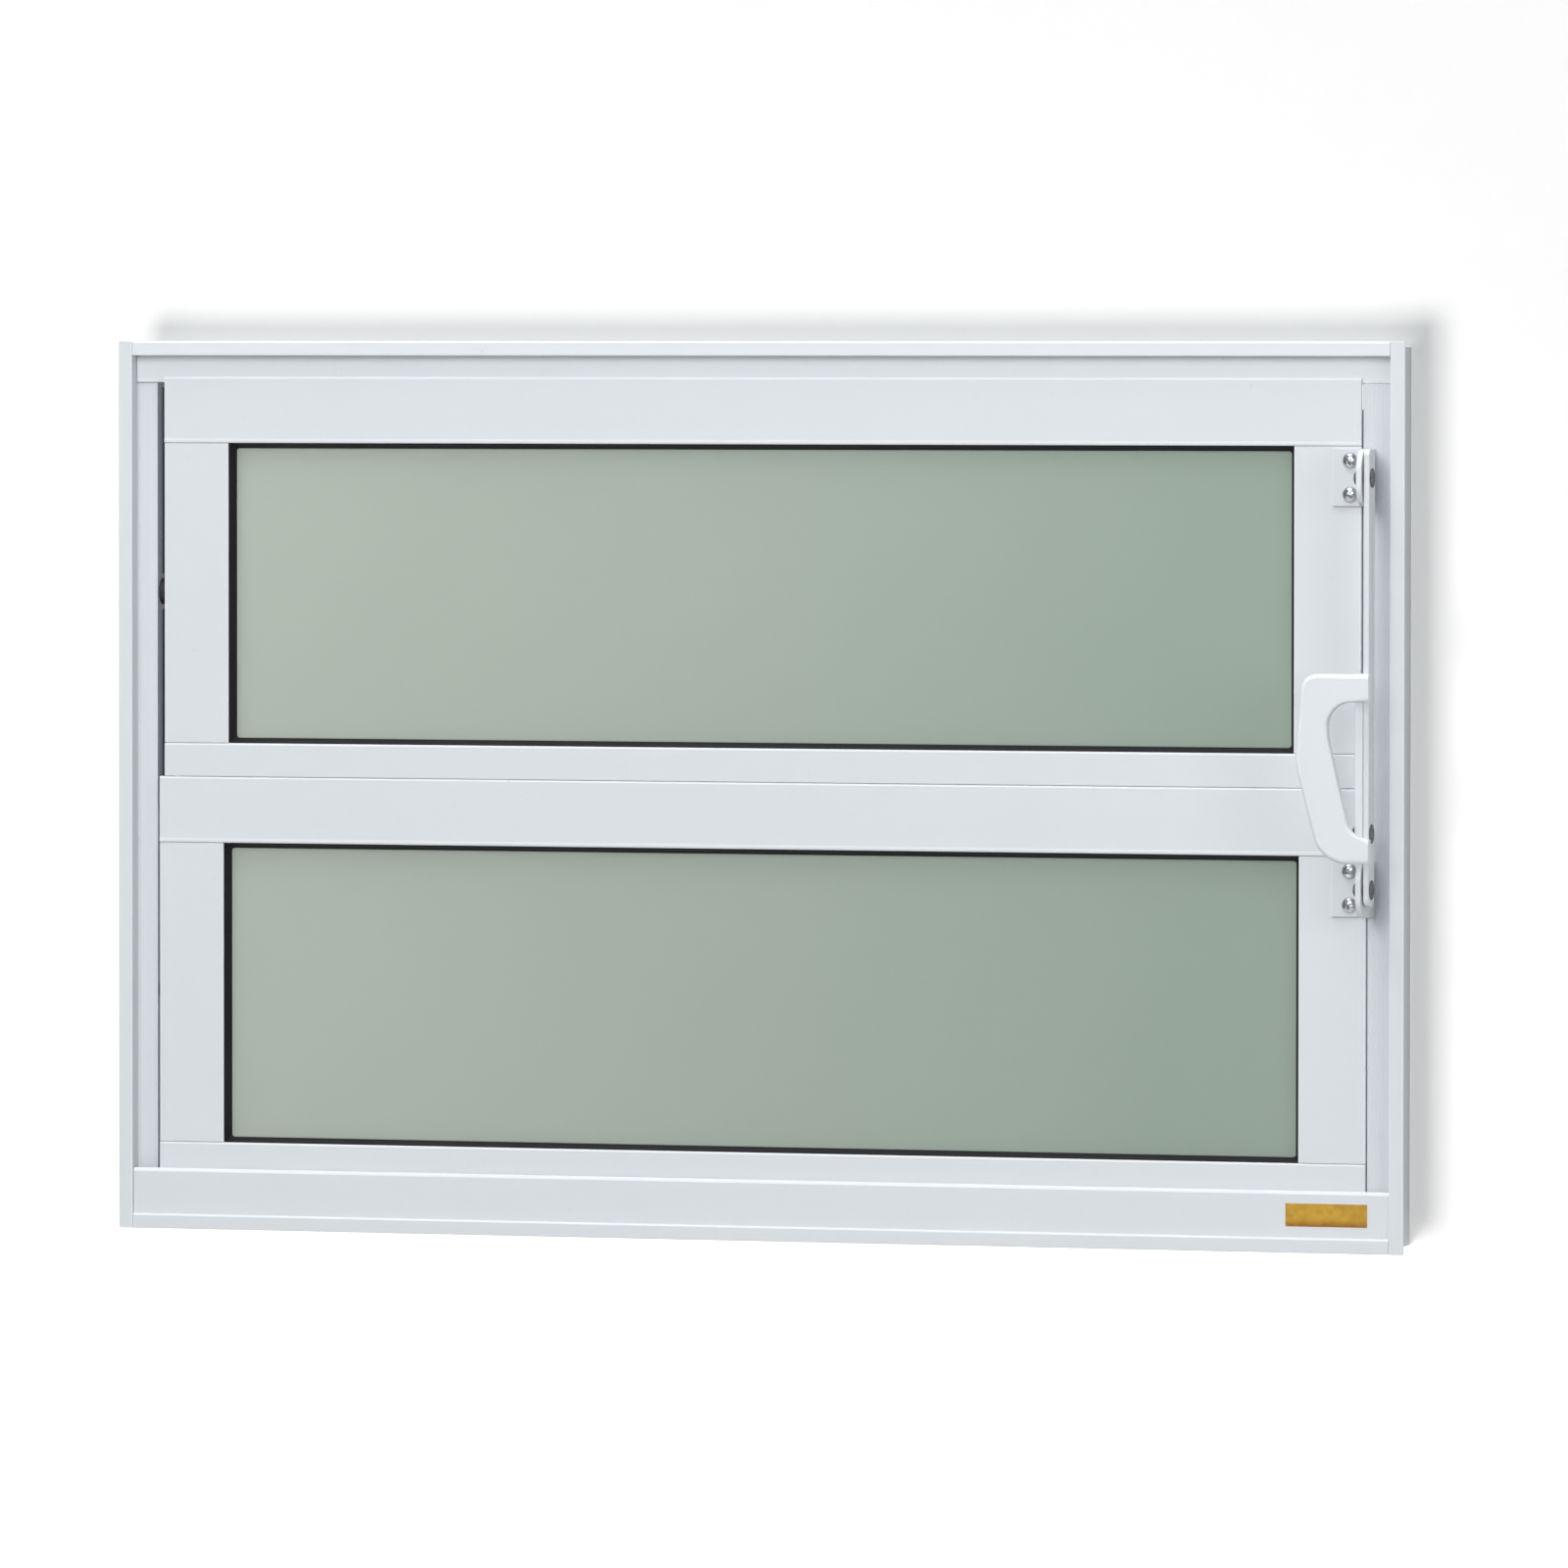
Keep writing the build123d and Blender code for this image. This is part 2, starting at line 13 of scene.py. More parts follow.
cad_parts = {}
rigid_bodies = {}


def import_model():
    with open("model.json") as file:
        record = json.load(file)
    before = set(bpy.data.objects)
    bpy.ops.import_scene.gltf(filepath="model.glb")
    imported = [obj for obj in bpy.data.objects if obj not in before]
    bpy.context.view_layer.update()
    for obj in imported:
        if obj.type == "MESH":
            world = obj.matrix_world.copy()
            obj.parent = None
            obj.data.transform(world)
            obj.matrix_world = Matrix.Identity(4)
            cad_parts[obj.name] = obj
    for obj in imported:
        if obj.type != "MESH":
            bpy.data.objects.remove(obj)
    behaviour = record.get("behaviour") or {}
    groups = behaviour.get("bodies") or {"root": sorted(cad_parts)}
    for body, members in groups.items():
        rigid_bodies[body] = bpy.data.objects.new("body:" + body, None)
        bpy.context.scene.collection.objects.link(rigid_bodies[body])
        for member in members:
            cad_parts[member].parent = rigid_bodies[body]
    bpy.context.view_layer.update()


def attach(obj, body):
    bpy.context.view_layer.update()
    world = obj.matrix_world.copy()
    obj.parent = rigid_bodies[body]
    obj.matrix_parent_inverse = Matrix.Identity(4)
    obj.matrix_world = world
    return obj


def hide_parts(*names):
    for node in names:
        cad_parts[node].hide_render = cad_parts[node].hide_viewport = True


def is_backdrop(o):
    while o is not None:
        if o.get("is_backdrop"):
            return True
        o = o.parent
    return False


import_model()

# Head of the fixed frame: one aluminium extrusion sawn square, powder coated white.
# Its front lip covers the edge of the wall opening, its web is screwed to the wall, and a
# hollow box hangs below the web as the stop for the upper sash.
mm = 0.001
arc_steps = 5
guard = 0.01
between_jambs = 293.4


def rounded(corners, radii, steps=arc_steps):
    """Closed line through the corners, each one cut back by an arc of its own radius.

    An arc's centre lies on the corner's bisector, radius / sin(half the angle) away, and the
    arc turns evenly from one side to the other. A guard point just beyond each end of an arc
    keeps the flats beside it flat.
    """
    corner = np.asarray(corners, float)
    radius = np.broadcast_to(np.asarray(radii, float), len(corner))[:, None]
    back = np.roll(corner, 1, axis=0) - corner
    ahead = np.roll(corner, -1, axis=0) - corner
    back /= np.linalg.norm(back, axis=1, keepdims=True)
    ahead /= np.linalg.norm(ahead, axis=1, keepdims=True)
    half = 0.5 * np.arccos(np.clip((back * ahead).sum(1), -1, 1))[:, None]
    inward = (back + ahead) / np.linalg.norm(back + ahead, axis=1, keepdims=True)
    centre = corner + inward * radius / np.sin(half)
    start = corner + back * radius / np.tan(half)
    end = corner + ahead * radius / np.tan(half)
    sweep = (np.pi - 2 * half)[:, :, None]
    share = np.linspace(0, 1, steps + 1)[None, :, None]
    arc = np.sin((1 - share) * sweep) * (start - centre)[:, None]
    arc = (arc + np.sin(share * sweep) * (end - centre)[:, None]) / np.sin(sweep)
    line = [(start + back * guard)[:, None], centre[:, None] + arc, (end + ahead * guard)[:, None]]
    return np.concatenate(line, axis=1).reshape(-1, 2)


def filled(loops):
    """Triangles that fill the area between closed loops.

    The loops' points are joined by Delaunay triangles that keep every edge of the loops, and a
    triangle stays where a level line from its middle crosses the loops an odd number of times.
    """
    corner = np.concatenate(loops)
    sizes = [len(loop) for loop in loops]
    first = np.concatenate([[0], np.cumsum(sizes)[:-1]])
    edge = np.concatenate(
        [f + np.stack([np.arange(n), (np.arange(n) + 1) % n], 1) for f, n in zip(first, sizes)]
    )
    found = delaunay_2d_cdt([Vector(place) for place in corner], edge.tolist(), [], 0, 1e-6)
    source = np.array([given[0] for given in found[3]])
    face = source[np.array(found[2])]
    middle = corner[face].mean(1)[:, None]
    a, b = corner[edge[:, 0]], corner[edge[:, 1]]
    spans = (a[:, 1] > middle[..., 1]) != (b[:, 1] > middle[..., 1])
    rise = np.where(a[:, 1] == b[:, 1], 1, b[:, 1] - a[:, 1])
    crossing = a[:, 0] + (middle[..., 1] - a[:, 1]) * (b[:, 0] - a[:, 0]) / rise
    odd = (spans & (crossing > middle[..., 0])).sum(1) % 2 == 1
    return face[odd]


def outward(loop):
    """At each point of a loop, the step that moves both of its sides out by one unit."""
    edge = np.roll(loop, -1, axis=0) - loop
    normal = np.stack([edge[:, 1], -edge[:, 0]], 1)
    normal /= np.linalg.norm(normal, axis=1, keepdims=True)
    last = np.roll(normal, 1, axis=0)
    return (normal + last) / (1 + (normal * last).sum(1, keepdims=True))


def carried(loops, stations, insets, along, steps=None):
    """Profile carried straight along an axis, with both ends closed.

    Every station repeats the loops, drawn in by the station's inset times each point's own
    outward step. The profile lies in (y, z) for a path along x, (z, x) along y, and (x, y)
    along z.
    """
    steps = steps or [outward(loop) for loop in loops]
    path = np.asarray(stations, float)[:, None, None]
    inset = np.asarray(insets, float)[:, None, None]
    points, quads, count = [], [], 0
    for loop, step in zip(loops, steps):
        ring = loop[None] - inset * step[None]
        height = np.broadcast_to(path, ring.shape[:2] + (1,))
        points.append(np.concatenate([ring, height], 2).reshape(-1, 3))
        index = count + np.arange(ring.shape[0] * ring.shape[1]).reshape(ring.shape[:2])
        low, high = index[:-1], index[1:]
        side = [low, np.roll(low, -1, 1), np.roll(high, -1, 1), high]
        quads.append(np.stack(side, -1).reshape(-1, 4))
        count += index.size
    points = np.concatenate(points)
    sizes = [len(loop) for loop in loops]
    first = np.concatenate([[0], np.cumsum(sizes)[:-1]]) * len(path)
    start = np.concatenate([f + np.arange(n) for f, n in zip(first, sizes)])
    end = start + np.repeat([n * (len(path) - 1) for n in sizes], sizes)
    face = filled(loops)
    ends = [start[face[:, ::-1]], end[face]]
    order = {"x": [2, 0, 1], "y": [1, 2, 0], "z": [0, 1, 2]}[along]
    return points[:, order], np.concatenate(quads), np.concatenate(ends)


def bar_of(loops, start, end, along="x", end_round=0.06):
    """Straight bar between two ends whose rims are rounded off by a little."""
    from_start = np.array([0, end_round, end_round + guard])
    stations = np.concatenate([start + from_start, end - from_start[::-1]])
    return carried(loops, stations, [end_round, 0, 0, 0, 0, end_round], along)


def mirrored(part):
    """The same shape on the other side of the window's middle plane."""
    points, quads, triangles = part
    return points * [-1, 1, 1], quads[:, ::-1], triangles[:, ::-1]


def raised(part, height):
    """The same shape, higher by the given amount."""
    points, quads, triangles = part
    return points + [0, 0, height], quads, triangles


def mark_lit_edges(mesh):
    """Stores at every point how much of an outer edge it is, as the attribute "edge".

    A mesh line counts by the angle between its two faces over 8 degrees, up to 1, where they
    meet outwards at less than 30 degrees. A point takes its largest, or none if it faces down,
    away from the light above. The coat reads it as a painted highlight.
    """
    lines = np.zeros(len(mesh.loops), int)
    mesh.loops.foreach_get("edge_index", lines)
    size, normal, centre = (
        np.zeros(len(mesh.polygons), int), np.zeros(3 * len(mesh.polygons)),
        np.zeros(3 * len(mesh.polygons)),
    )
    mesh.polygons.foreach_get("loop_total", size)
    mesh.polygons.foreach_get("normal", normal)
    mesh.polygons.foreach_get("center", centre)
    normal, centre = normal.reshape(-1, 3), centre.reshape(-1, 3)
    beside = np.repeat(np.arange(len(size)), size)[np.argsort(lines, kind="stable")]
    count = np.bincount(lines, minlength=len(mesh.edges))
    shared = np.flatnonzero(count == 2)
    first = (np.cumsum(count) - count)[shared]
    one, other = beside[first], beside[first + 1]
    bend = np.degrees(np.arccos(np.clip((normal[one] * normal[other]).sum(1), -1, 1)))
    outer = (((centre[other] - centre[one]) * normal[one]).sum(1) < 0) & (bend < 30)
    ends = np.zeros(2 * len(mesh.edges), int)
    mesh.edges.foreach_get("vertices", ends)
    up = np.zeros(3 * len(mesh.vertices))
    mesh.vertices.foreach_get("normal", up)
    edge = np.zeros(len(mesh.vertices))
    ends = ends.reshape(-1, 2)[shared].ravel()
    np.maximum.at(edge, ends, np.repeat(np.clip(bend / 8, 0, 1) * outer, 2))
    edge *= np.clip(1 + 2.5 * up[2::3], 0, 1)
    mesh.attributes.new("edge", "FLOAT", "POINT").data.foreach_set("value", edge)


def new_piece(name, parts, body, finish, stands_for=()):
    """One mesh object of closed shells, smooth except where its faces meet above 35 degrees."""
    points = np.concatenate([part[0] for part in parts]) * mm
    starts = np.cumsum([0] + [len(part[0]) for part in parts])
    faces = []
    for start, part in zip(starts, parts):
        faces += (part[1] + start).tolist() + (part[2] + start).tolist()
    mesh = bpy.data.meshes.new(name)
    mesh.from_pydata(points.tolist(), [], faces)
    mesh.shade_smooth()
    mesh.set_sharp_from_angle(angle=np.radians(35))
    mark_lit_edges(mesh)
    made = bpy.data.objects.new(name, mesh)
    bpy.context.scene.collection.objects.link(made)
    made.data.materials.append(finish)
    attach(made, body)
    if stands_for:
        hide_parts(*stands_for)


def add_node(tree, kind, inputs=None, **settings):
    """Adds a node, sets its settings, and fills or joins its inputs by name or number."""
    node = tree.nodes.new(kind)
    for key, value in settings.items():
        setattr(node, key, value)
    for key, value in (inputs or {}).items():
        if isinstance(value, bpy.types.NodeSocket):
            tree.links.new(value, node.inputs[key])
        else:
            node.inputs[key].default_value = value
    return node


def new_group(name, inputs, outputs):
    """Shader node group with named sockets; returns its tree, its inputs and its output node."""
    tree = bpy.data.node_groups.new(name, "ShaderNodeTree")
    for label, kind, value in inputs:
        made = tree.interface.new_socket(label, in_out="INPUT", socket_type=kind)
        made.default_value = value
    for label, kind in outputs:
        tree.interface.new_socket(label, in_out="OUTPUT", socket_type=kind)
    return tree, tree.nodes.new("NodeGroupInput"), tree.nodes.new("NodeGroupOutput")


def new_material(name, roughness, **plain):
    """Material with one Principled shader; returns it with its tree and that shader."""
    made = bpy.data.materials.new(name)
    made.use_nodes = True
    shader = made.node_tree.nodes["Principled BSDF"]
    shader.inputs["Roughness"].default_value = roughness
    for label, value in plain.items():
        shader.inputs[label.replace("_", " ")].default_value = value
    return made, made.node_tree, shader


def noise(tree, place, scale, detail, **more):
    """Fractal noise over a place, as a value between 0 and 1."""
    inputs = {"Vector": place, "Scale": scale, "Detail": detail, **more}
    return add_node(tree, "ShaderNodeTexNoise", inputs).outputs["Fac"]


def blended(tree, share, first, second):
    """Colour that goes from the first to the second as the share goes from 0 to 1."""
    inputs = {0: share, 6: first, 7: second}
    return add_node(tree, "ShaderNodeMix", inputs, data_type="RGBA").outputs[2]


def finish_shader(tree, shader, colour, height, strength, depth, roughness=None):
    """Joins a colour, a relief that is some millimetres deep, and a roughness to a shader."""
    inputs = {"Height": height, "Strength": strength, "Distance": depth * mm}
    bump = add_node(tree, "ShaderNodeBump", inputs)
    tree.links.new(colour, shader.inputs["Base Color"])
    tree.links.new(bump.outputs["Normal"], shader.inputs["Normal"])
    if roughness is not None:
        tree.links.new(roughness, shader.inputs["Roughness"])


# Powder coat, seen close: a fine orange-peel skin, a faint mottle, and small scuffs.
# It is a little lighter along rounded edges that do not face down: a painted highlight where light
# would catch them.
coat, given, result = new_group(
    "powder_coat_skin",
    [
        ("Colour", "NodeSocketColor", (0.8, 0.8, 0.8, 1)),
        ("Scuff colour", "NodeSocketColor", (0.5, 0.5, 0.5, 1)),
        ("Peel scale", "NodeSocketFloat", 900.0),
        ("Mottle", "NodeSocketFloat", 0.02),
        ("Edge highlight", "NodeSocketFloat", 0.1),
        ("Scuffs", "NodeSocketFloat", 0.3),
        ("Sheen low", "NodeSocketFloat", 0.3),
        ("Sheen high", "NodeSocketFloat", 0.4),
    ],
    [
        ("Color", "NodeSocketColor"),
        ("Roughness", "NodeSocketFloat"),
        ("Height", "NodeSocketFloat"),
    ],
)
place = add_node(coat, "ShaderNodeTexCoord").outputs["Object"]
peel = noise(coat, place, given.outputs["Peel scale"], 2.0, Roughness=0.55)
cloud = noise(coat, place, 14.0, 3.0)
shade = add_node(coat, "ShaderNodeMath", {0: cloud, 1: 0.5}, operation="SUBTRACT")
# Painted highlight: the edge attribute lightens the coat along outer edges that do not face down.
edge = add_node(coat, "ShaderNodeAttribute", attribute_name="edge").outputs["Fac"]
edge = add_node(
    coat, "ShaderNodeMath", {0: edge, 1: given.outputs["Edge highlight"], 2: 1.0}, operation="MULTIPLY_ADD"
)
shade = add_node(
    coat, "ShaderNodeMath",
    {0: shade.outputs[0], 1: given.outputs["Mottle"], 2: edge.outputs[0]},
    operation="MULTIPLY_ADD",
)
tinted = add_node(
    coat, "ShaderNodeVectorMath",
    {0: given.outputs["Colour"], 3: shade.outputs[0]}, operation="SCALE",
)
marks = noise(coat, place, 160.0, 4.0, Roughness=0.7)
marks = add_node(
    coat, "ShaderNodeMapRange", {0: marks, 1: 0.66, 2: 0.78, 3: 0.0, 4: given.outputs["Scuffs"]}
)
scuffed = blended(coat, marks.outputs[0], tinted.outputs[0], given.outputs["Scuff colour"])
sheen = add_node(
    coat, "ShaderNodeMapRange",
    {0: cloud, 3: given.outputs["Sheen low"], 4: given.outputs["Sheen high"]},
)
coat.links.new(scuffed, result.inputs["Color"])
coat.links.new(sheen.outputs[0], result.inputs["Roughness"])
coat.links.new(peel, result.inputs["Height"])


# Its edge sets how strong the coat's painted edge highlight is.
def coated(
    name, colour, scuff_colour=(0.45, 0.47, 0.49), peel_scale=1100.0, mottle=0.03, edge=0.15,
    scuffs=0.25, sheen=(0.46, 0.58), relief=0.05,
):
    """Powder-coated finish whose colour, roughness and relief come from the coat group."""
    made, tree, shader = new_material(name, 0.35, Specular_IOR_Level=0.35)
    skin = add_node(
        tree, "ShaderNodeGroup",
        {
            "Colour": (*colour, 1), "Scuff colour": (*scuff_colour, 1),
            "Peel scale": peel_scale, "Mottle": mottle, "Edge highlight": edge, "Scuffs": scuffs,
            "Sheen low": sheen[0], "Sheen high": sheen[1],
        },
        node_tree=coat,
    ).outputs
    finish_shader(tree, shader, skin["Color"], skin["Height"], 0.35, relief, skin["Roughness"])
    return made


white_coat = coated("sprayed_white", (0.705, 0.725, 0.744))
head_profile = rounded(
    [
        (-15, 388.3), (-8.8, 388.3), (-8.8, 376.2), (11.2, 376.2), (11.2, 388.3), (14.7, 388.3),
        (14.7, 385.3), (16, 385.3), (16, 389.6), (-13.5, 389.6), (-13.5, 394.8), (-15, 394.8),
    ],
    [0.5, 0.2, 0.7, 0.5, 0.2, 0.2, 0.2, 0.2, 0.3, 0.3, 0.4, 0.9],
)
head_chamber = rounded([(-7.5, 388.3), (9.9, 388.3), (9.9, 377.5), (-7.5, 377.5)], 0.3)
# Painted light: the head takes a lighter copy of the white coat, which brightens its lip and the
# strip in the lip's shade.
lit_head_coat = coated("sprayed_white_lit_head", (0.755, 0.775, 0.792), edge=0.12, scuffs=0.3)
new_piece(
    "head_extrusion",
    [bar_of([head_profile, head_chamber], -between_jambs, between_jambs, end_round=0.3)],
    "frame", lit_head_coat, ["head"],
)

# Sill of the fixed frame: the same coated aluminium, with a front lip, a flat web and a tall
# upstand with a thicker rounded edge that stands in front of the lower sash.
sill_profile = rounded(
    [
        (-15, -5.2), (-13.5, -5.2), (-13.5, 0), (16, 0), (16, 1.3), (-12.3, 1.3),
        (-12.3, 19.8), (-11.6, 19.8), (-11.6, 22), (-13.8, 22), (-13.8, 1.3), (-15, 1.3),
    ],
    [0.5, 0.4, 0.3, 0.3, 0.3, 0.3, 0.15, 0.45, 0.5, 1.6, 0.3, 0.8],
)
new_piece(
    "sill_extrusion", [bar_of([sill_profile], -between_jambs, between_jambs, end_round=0.3)],
    "frame", white_coat, ["sill"],
)

# Jambs: coated aluminium extrusions whose lip and web run past the ends of head and sill.
# Between head and sill each carries a hollow stop box with a finely grooved front. On the
# right that front is a thicker cover block, which reaches in to both sashes.
box_bottom = 1.4
box_top = 376.1
meeting_height = 199.3
jamb_face = 283.9
web_inside = 293.6
jamb_lip = rounded([(293.5, -15), (300, -15), (300, -13.5), (293.5, -13.5)], 0.45)
jamb_web = rounded([(293.5, -13.9), (294.8, -13.9), (294.8, 16), (293.5, 16)], 0.25)
jamb_rib = rounded([(290.5, 14.7), (web_inside, 14.7), (web_inside, 16), (290.5, 16)], 0.25)
jamb_box = rounded(
    [(jamb_face, -7.5), (web_inside, -7.5), (web_inside, 11), (jamb_face, 11)],
    [0.6, 0.1, 0.1, 0.6],
)
jamb_chamber = rounded([(285.5, -6.2), (285.5, 9.7), (293.4, 9.7), (293.4, -6.2)], 0.3)
last_groove = 292.5
groove_pitch = 1.15
groove_half_width = 0.18
groove_depth = 0.14


def grooved(face_x, face_y, back_y, edge_round):
    """Block in front of a jamb's box, from face_x to the web, with evenly spaced V grooves.

    Each groove is three points of the outline: its two edges on the face and its bottom. The
    last groove lies beside the web, and the others follow inwards by one pitch each.
    """
    count = int((last_groove - face_x - 1) / groove_pitch) + 1
    groove_x = last_groove - groove_pitch * np.repeat(np.arange(count)[::-1], 3)
    groove_x += groove_half_width * np.tile([-1, 0, 1], count)
    groove_y = face_y + groove_depth * np.tile([0, 1, 0], count)
    corners = [(web_inside, face_y), (web_inside, back_y), (face_x, back_y), (face_x, face_y)]
    block = rounded(corners, [0.1, 0.1, 0.1, edge_round])
    return np.concatenate([np.stack([groove_x, groove_y], 1), block])


jamb_fronts = {
    "left": [(grooved(jamb_face, -7.52, -7.0, 0.2), box_bottom, box_top)],
    "right": [
        (grooved(282.1, -9.6, -7.4, 0.5), box_bottom, meeting_height),
        (grooved(279.8, -9.6, -7.4, 0.5), meeting_height, box_top),
    ],
}
# Painted shade: the grooved fronts take a darker, bluer copy of the white coat, for the shade they
# are seen in.
shaded_front_coat = coated(
    "sprayed_white_painted_shade", (0.665, 0.69, 0.722), scuff_colour=(0.42, 0.44, 0.46), edge=0.1
)
for side, fronts in jamb_fronts.items():
    jamb_parts = [
        bar_of([jamb_lip], -5.2, 394.8, "z", 0.2),
        bar_of([jamb_web], -2.8, 392.4, "z"),
        bar_of([jamb_rib], box_bottom, 385.2, "z"),
        bar_of([jamb_box, jamb_chamber], box_bottom, box_top, "z"),
    ]
    front_parts = [bar_of([block], low, high, "z", 0.1) for block, low, high in fronts]
    if side == "left":
        jamb_parts = [mirrored(part) for part in jamb_parts]
        front_parts = [mirrored(part) for part in front_parts]
    new_piece(
        f"{side}_jamb_extrusion", jamb_parts, "frame", white_coat,
        [f"{side}_jamb"],
    )
    new_piece(
        f"{side}_jamb_grooved_front", front_parts, "frame", shaded_front_coat
    )

# Sash rails: coated extrusions, their ends closed flush, with a groove that holds the glass.
# Each top rail has a front flange with a rolled edge and each bottom rail a rear flange, and
# small plugs close the groove at both ends. Heights count from the sash's pivot.
sashes = {"lower": (102.0, 281.7), "upper": (282.0, 279.3)}
stile_width = 30.5
sash_front, groove_front, groove_back, sash_back = -11, -9.7, 2.3, 11
glass_top, top_groove = 67.0, 75.0
glass_bottom, bottom_groove = -68.1, -76.1
top_rail = rounded(
    [
        (-11.25, glass_top), (groove_front, glass_top), (groove_front, top_groove),
        (groove_back, top_groove), (groove_back, glass_top), (sash_back, glass_top),
        (sash_back, 82.8), (-9.5, 82.8), (-9.5, 94.6), (-8.8, 94.6), (-8.8, 96.8),
        (sash_front, 96.8), (sash_front, 69), (-11.25, 68.2),
    ],
    [0.5, 0.3, 0.2, 0.2, 0.3, 0.5, 0.5, 0.4, 0.15, 0.45, 0.5, 1.0, 0.5, 0.4],
)
bottom_rail = rounded(
    [
        (sash_front, -83.1), (9.5, -83.1), (9.5, -95.1), (sash_back, -95.1),
        (sash_back, glass_bottom), (groove_back, glass_bottom), (groove_back, bottom_groove),
        (groove_front, bottom_groove), (groove_front, glass_bottom), (sash_front, glass_bottom),
    ],
    [0.25, 0.4, 0.5, 0.5, 0.5, 0.3, 0.2, 0.2, 0.3, 0.9],
)
rails = {
    "top": (top_rail, glass_top, top_groove), "bottom": (bottom_rail, bottom_groove, glass_bottom),
}
plug_gap = 0.05
plug_depth = 1.6
for level, (pivot, half_sash) in sashes.items():
    for rail, (profile, groove_low, groove_high) in rails.items():
        front, back = groove_front + plug_gap, groove_back - plug_gap
        low, high = groove_low + plug_gap, groove_high - plug_gap
        plug_end = rounded([(front, low), (back, low), (back, high), (front, high)], 0.2)
        plug = bar_of([plug_end], half_sash - plug_depth, half_sash - plug_gap)
        shape = bar_of([profile], -half_sash, half_sash)
        new_piece(
            f"{level}_{rail}_rail_extrusion",
            [raised(part, pivot) for part in (shape, plug, mirrored(plug))], f"{level}_sash",
            white_coat, [f"{level}_{rail}_rail"],
        )

# Sash stiles: coated hollow extrusions cut square between the rails, with hairline joints.
# The pivot pins pass through their outer walls at mid-height.
sash_wall = 1.3
joint_gap = 0.1
for level, (pivot, half_sash) in sashes.items():
    inner = half_sash - stile_width
    groove_x = inner + top_groove - glass_top
    stile = rounded(
        [
            (inner, sash_front), (half_sash, sash_front), (half_sash, sash_back),
            (inner, sash_back), (inner, groove_back), (groove_x, groove_back),
            (groove_x, groove_front), (inner, groove_front),
        ],
        [0.4, 0.5, 0.5, 0.4, 0.3, 0.2, 0.2, 0.3],
    )
    low, high = sash_front + sash_wall, sash_back - sash_wall
    left, right = groove_x + sash_wall, half_sash - sash_wall
    behind_groove = groove_back + sash_wall
    chambers = [
        rounded([(left, low), (left, high), (right, high), (right, low)], 0.3),
        rounded(
            [
                (inner + sash_wall, behind_groove), (inner + sash_wall, high), (groove_x, high),
                (groove_x, behind_groove),
            ],
            0.3,
        ),
    ]
    shape = bar_of([stile, *chambers], glass_bottom + joint_gap, glass_top - joint_gap, "z", 0.2)
    for side, part in (("right", shape), ("left", mirrored(shape))):
        new_piece(
            f"{level}_{side}_stile_extrusion", [raised(part, pivot)], f"{level}_sash",
            white_coat, [f"{level}_{side}_stile"],
        )

# Glazing gaskets: soft black rubber strips pushed into the groove on both faces of the glass.
# Each has a rounded bead at the rail's edge and a thin lip that leans on the glass.
rubber, tree, shader = new_material("black_rubber", 0.55, Specular_IOR_Level=0.25)
place = add_node(tree, "ShaderNodeTexCoord").outputs["Object"]
grain = noise(tree, place, 1800.0, 3.0)
bloom = noise(tree, place, 70.0, 4.0)
tone = blended(tree, bloom, (0.006, 0.005, 0.007, 1), (0.017, 0.014, 0.018, 1))
finish_shader(tree, shader, tone, grain, strength=0.4, depth=0.06)


def frame_strip(profile, half_width, low, high, body_y, facing):
    """Strip carried round a rectangular opening.

    The profile gives, point by point, how far in from the opening's edge it lies and how far
    out from the glass. Every point runs between the square outer line and a rounder inner
    line, in proportion to how far in it lies.
    """
    width = profile[:, 0].max()
    square = [(-half_width, low), (half_width, low), (half_width, high), (-half_width, high)]
    inner = [
        (-half_width + width, low + width), (half_width - width, low + width),
        (half_width - width, high - width), (-half_width + width, high - width),
    ]
    outer_line = rounded(square, 0.2)
    inner_line = rounded(inner, 1.3)
    share = (profile[:, 0] / width)[None, :, None]
    flat = outer_line[:, None] + share * (inner_line - outer_line)[:, None]
    depth = np.broadcast_to(body_y + facing * profile[:, 1][None], flat.shape[:2])
    points = np.stack([flat[..., 0], depth, flat[..., 1]], -1).reshape(-1, 3)
    index = np.arange(len(points)).reshape(flat.shape[:2])
    ahead = np.roll(index, -1, axis=0)
    faces = np.stack([index, np.roll(index, -1, 1), np.roll(ahead, -1, 1), ahead], -1)
    faces = faces.reshape(-1, 4)
    return points, faces if facing > 0 else faces[:, ::-1], np.zeros((0, 3), int)


gasket_profile = np.array(
    [
        (-5.8, 0.02), (2.35, 0.02), (2.4, 0.25), (2.1, 0.75), (1.4, 1.6), (0.8, 2.9),
        (0.55, 3.75), (0.3, 3.95), (0.02, 3.9), (-0.15, 3.6), (-5.8, 3.6),
    ]
)
for level, (pivot, half_sash) in sashes.items():
    half_glass = half_sash - stile_width
    for face, body_y, facing in (("front", -5.7, -1), ("rear", -1.7, 1)):
        shape = frame_strip(
            gasket_profile, half_glass, pivot + glass_bottom, pivot + glass_top, body_y, facing
        )
        new_piece(
            f"{level}_{face}_gasket_strip", [shape], f"{level}_sash",
            rubber, [f"{level}_{face}_gasket"],
        )

# Glass: one pane of grey-green obscured glass in each sash, with seamed edges.
# One face is etched, so that light comes through but no shapes do.
etched, tree, shader = new_material(
    "etched_glass", 0.5, Specular_IOR_Level=0.5, Transmission_Weight=0.25, IOR=1.5
)
place = add_node(tree, "ShaderNodeTexCoord").outputs["Object"]
frost = noise(tree, place, 700.0, 4.0)
cast = noise(tree, place, 5.0, 2.0)
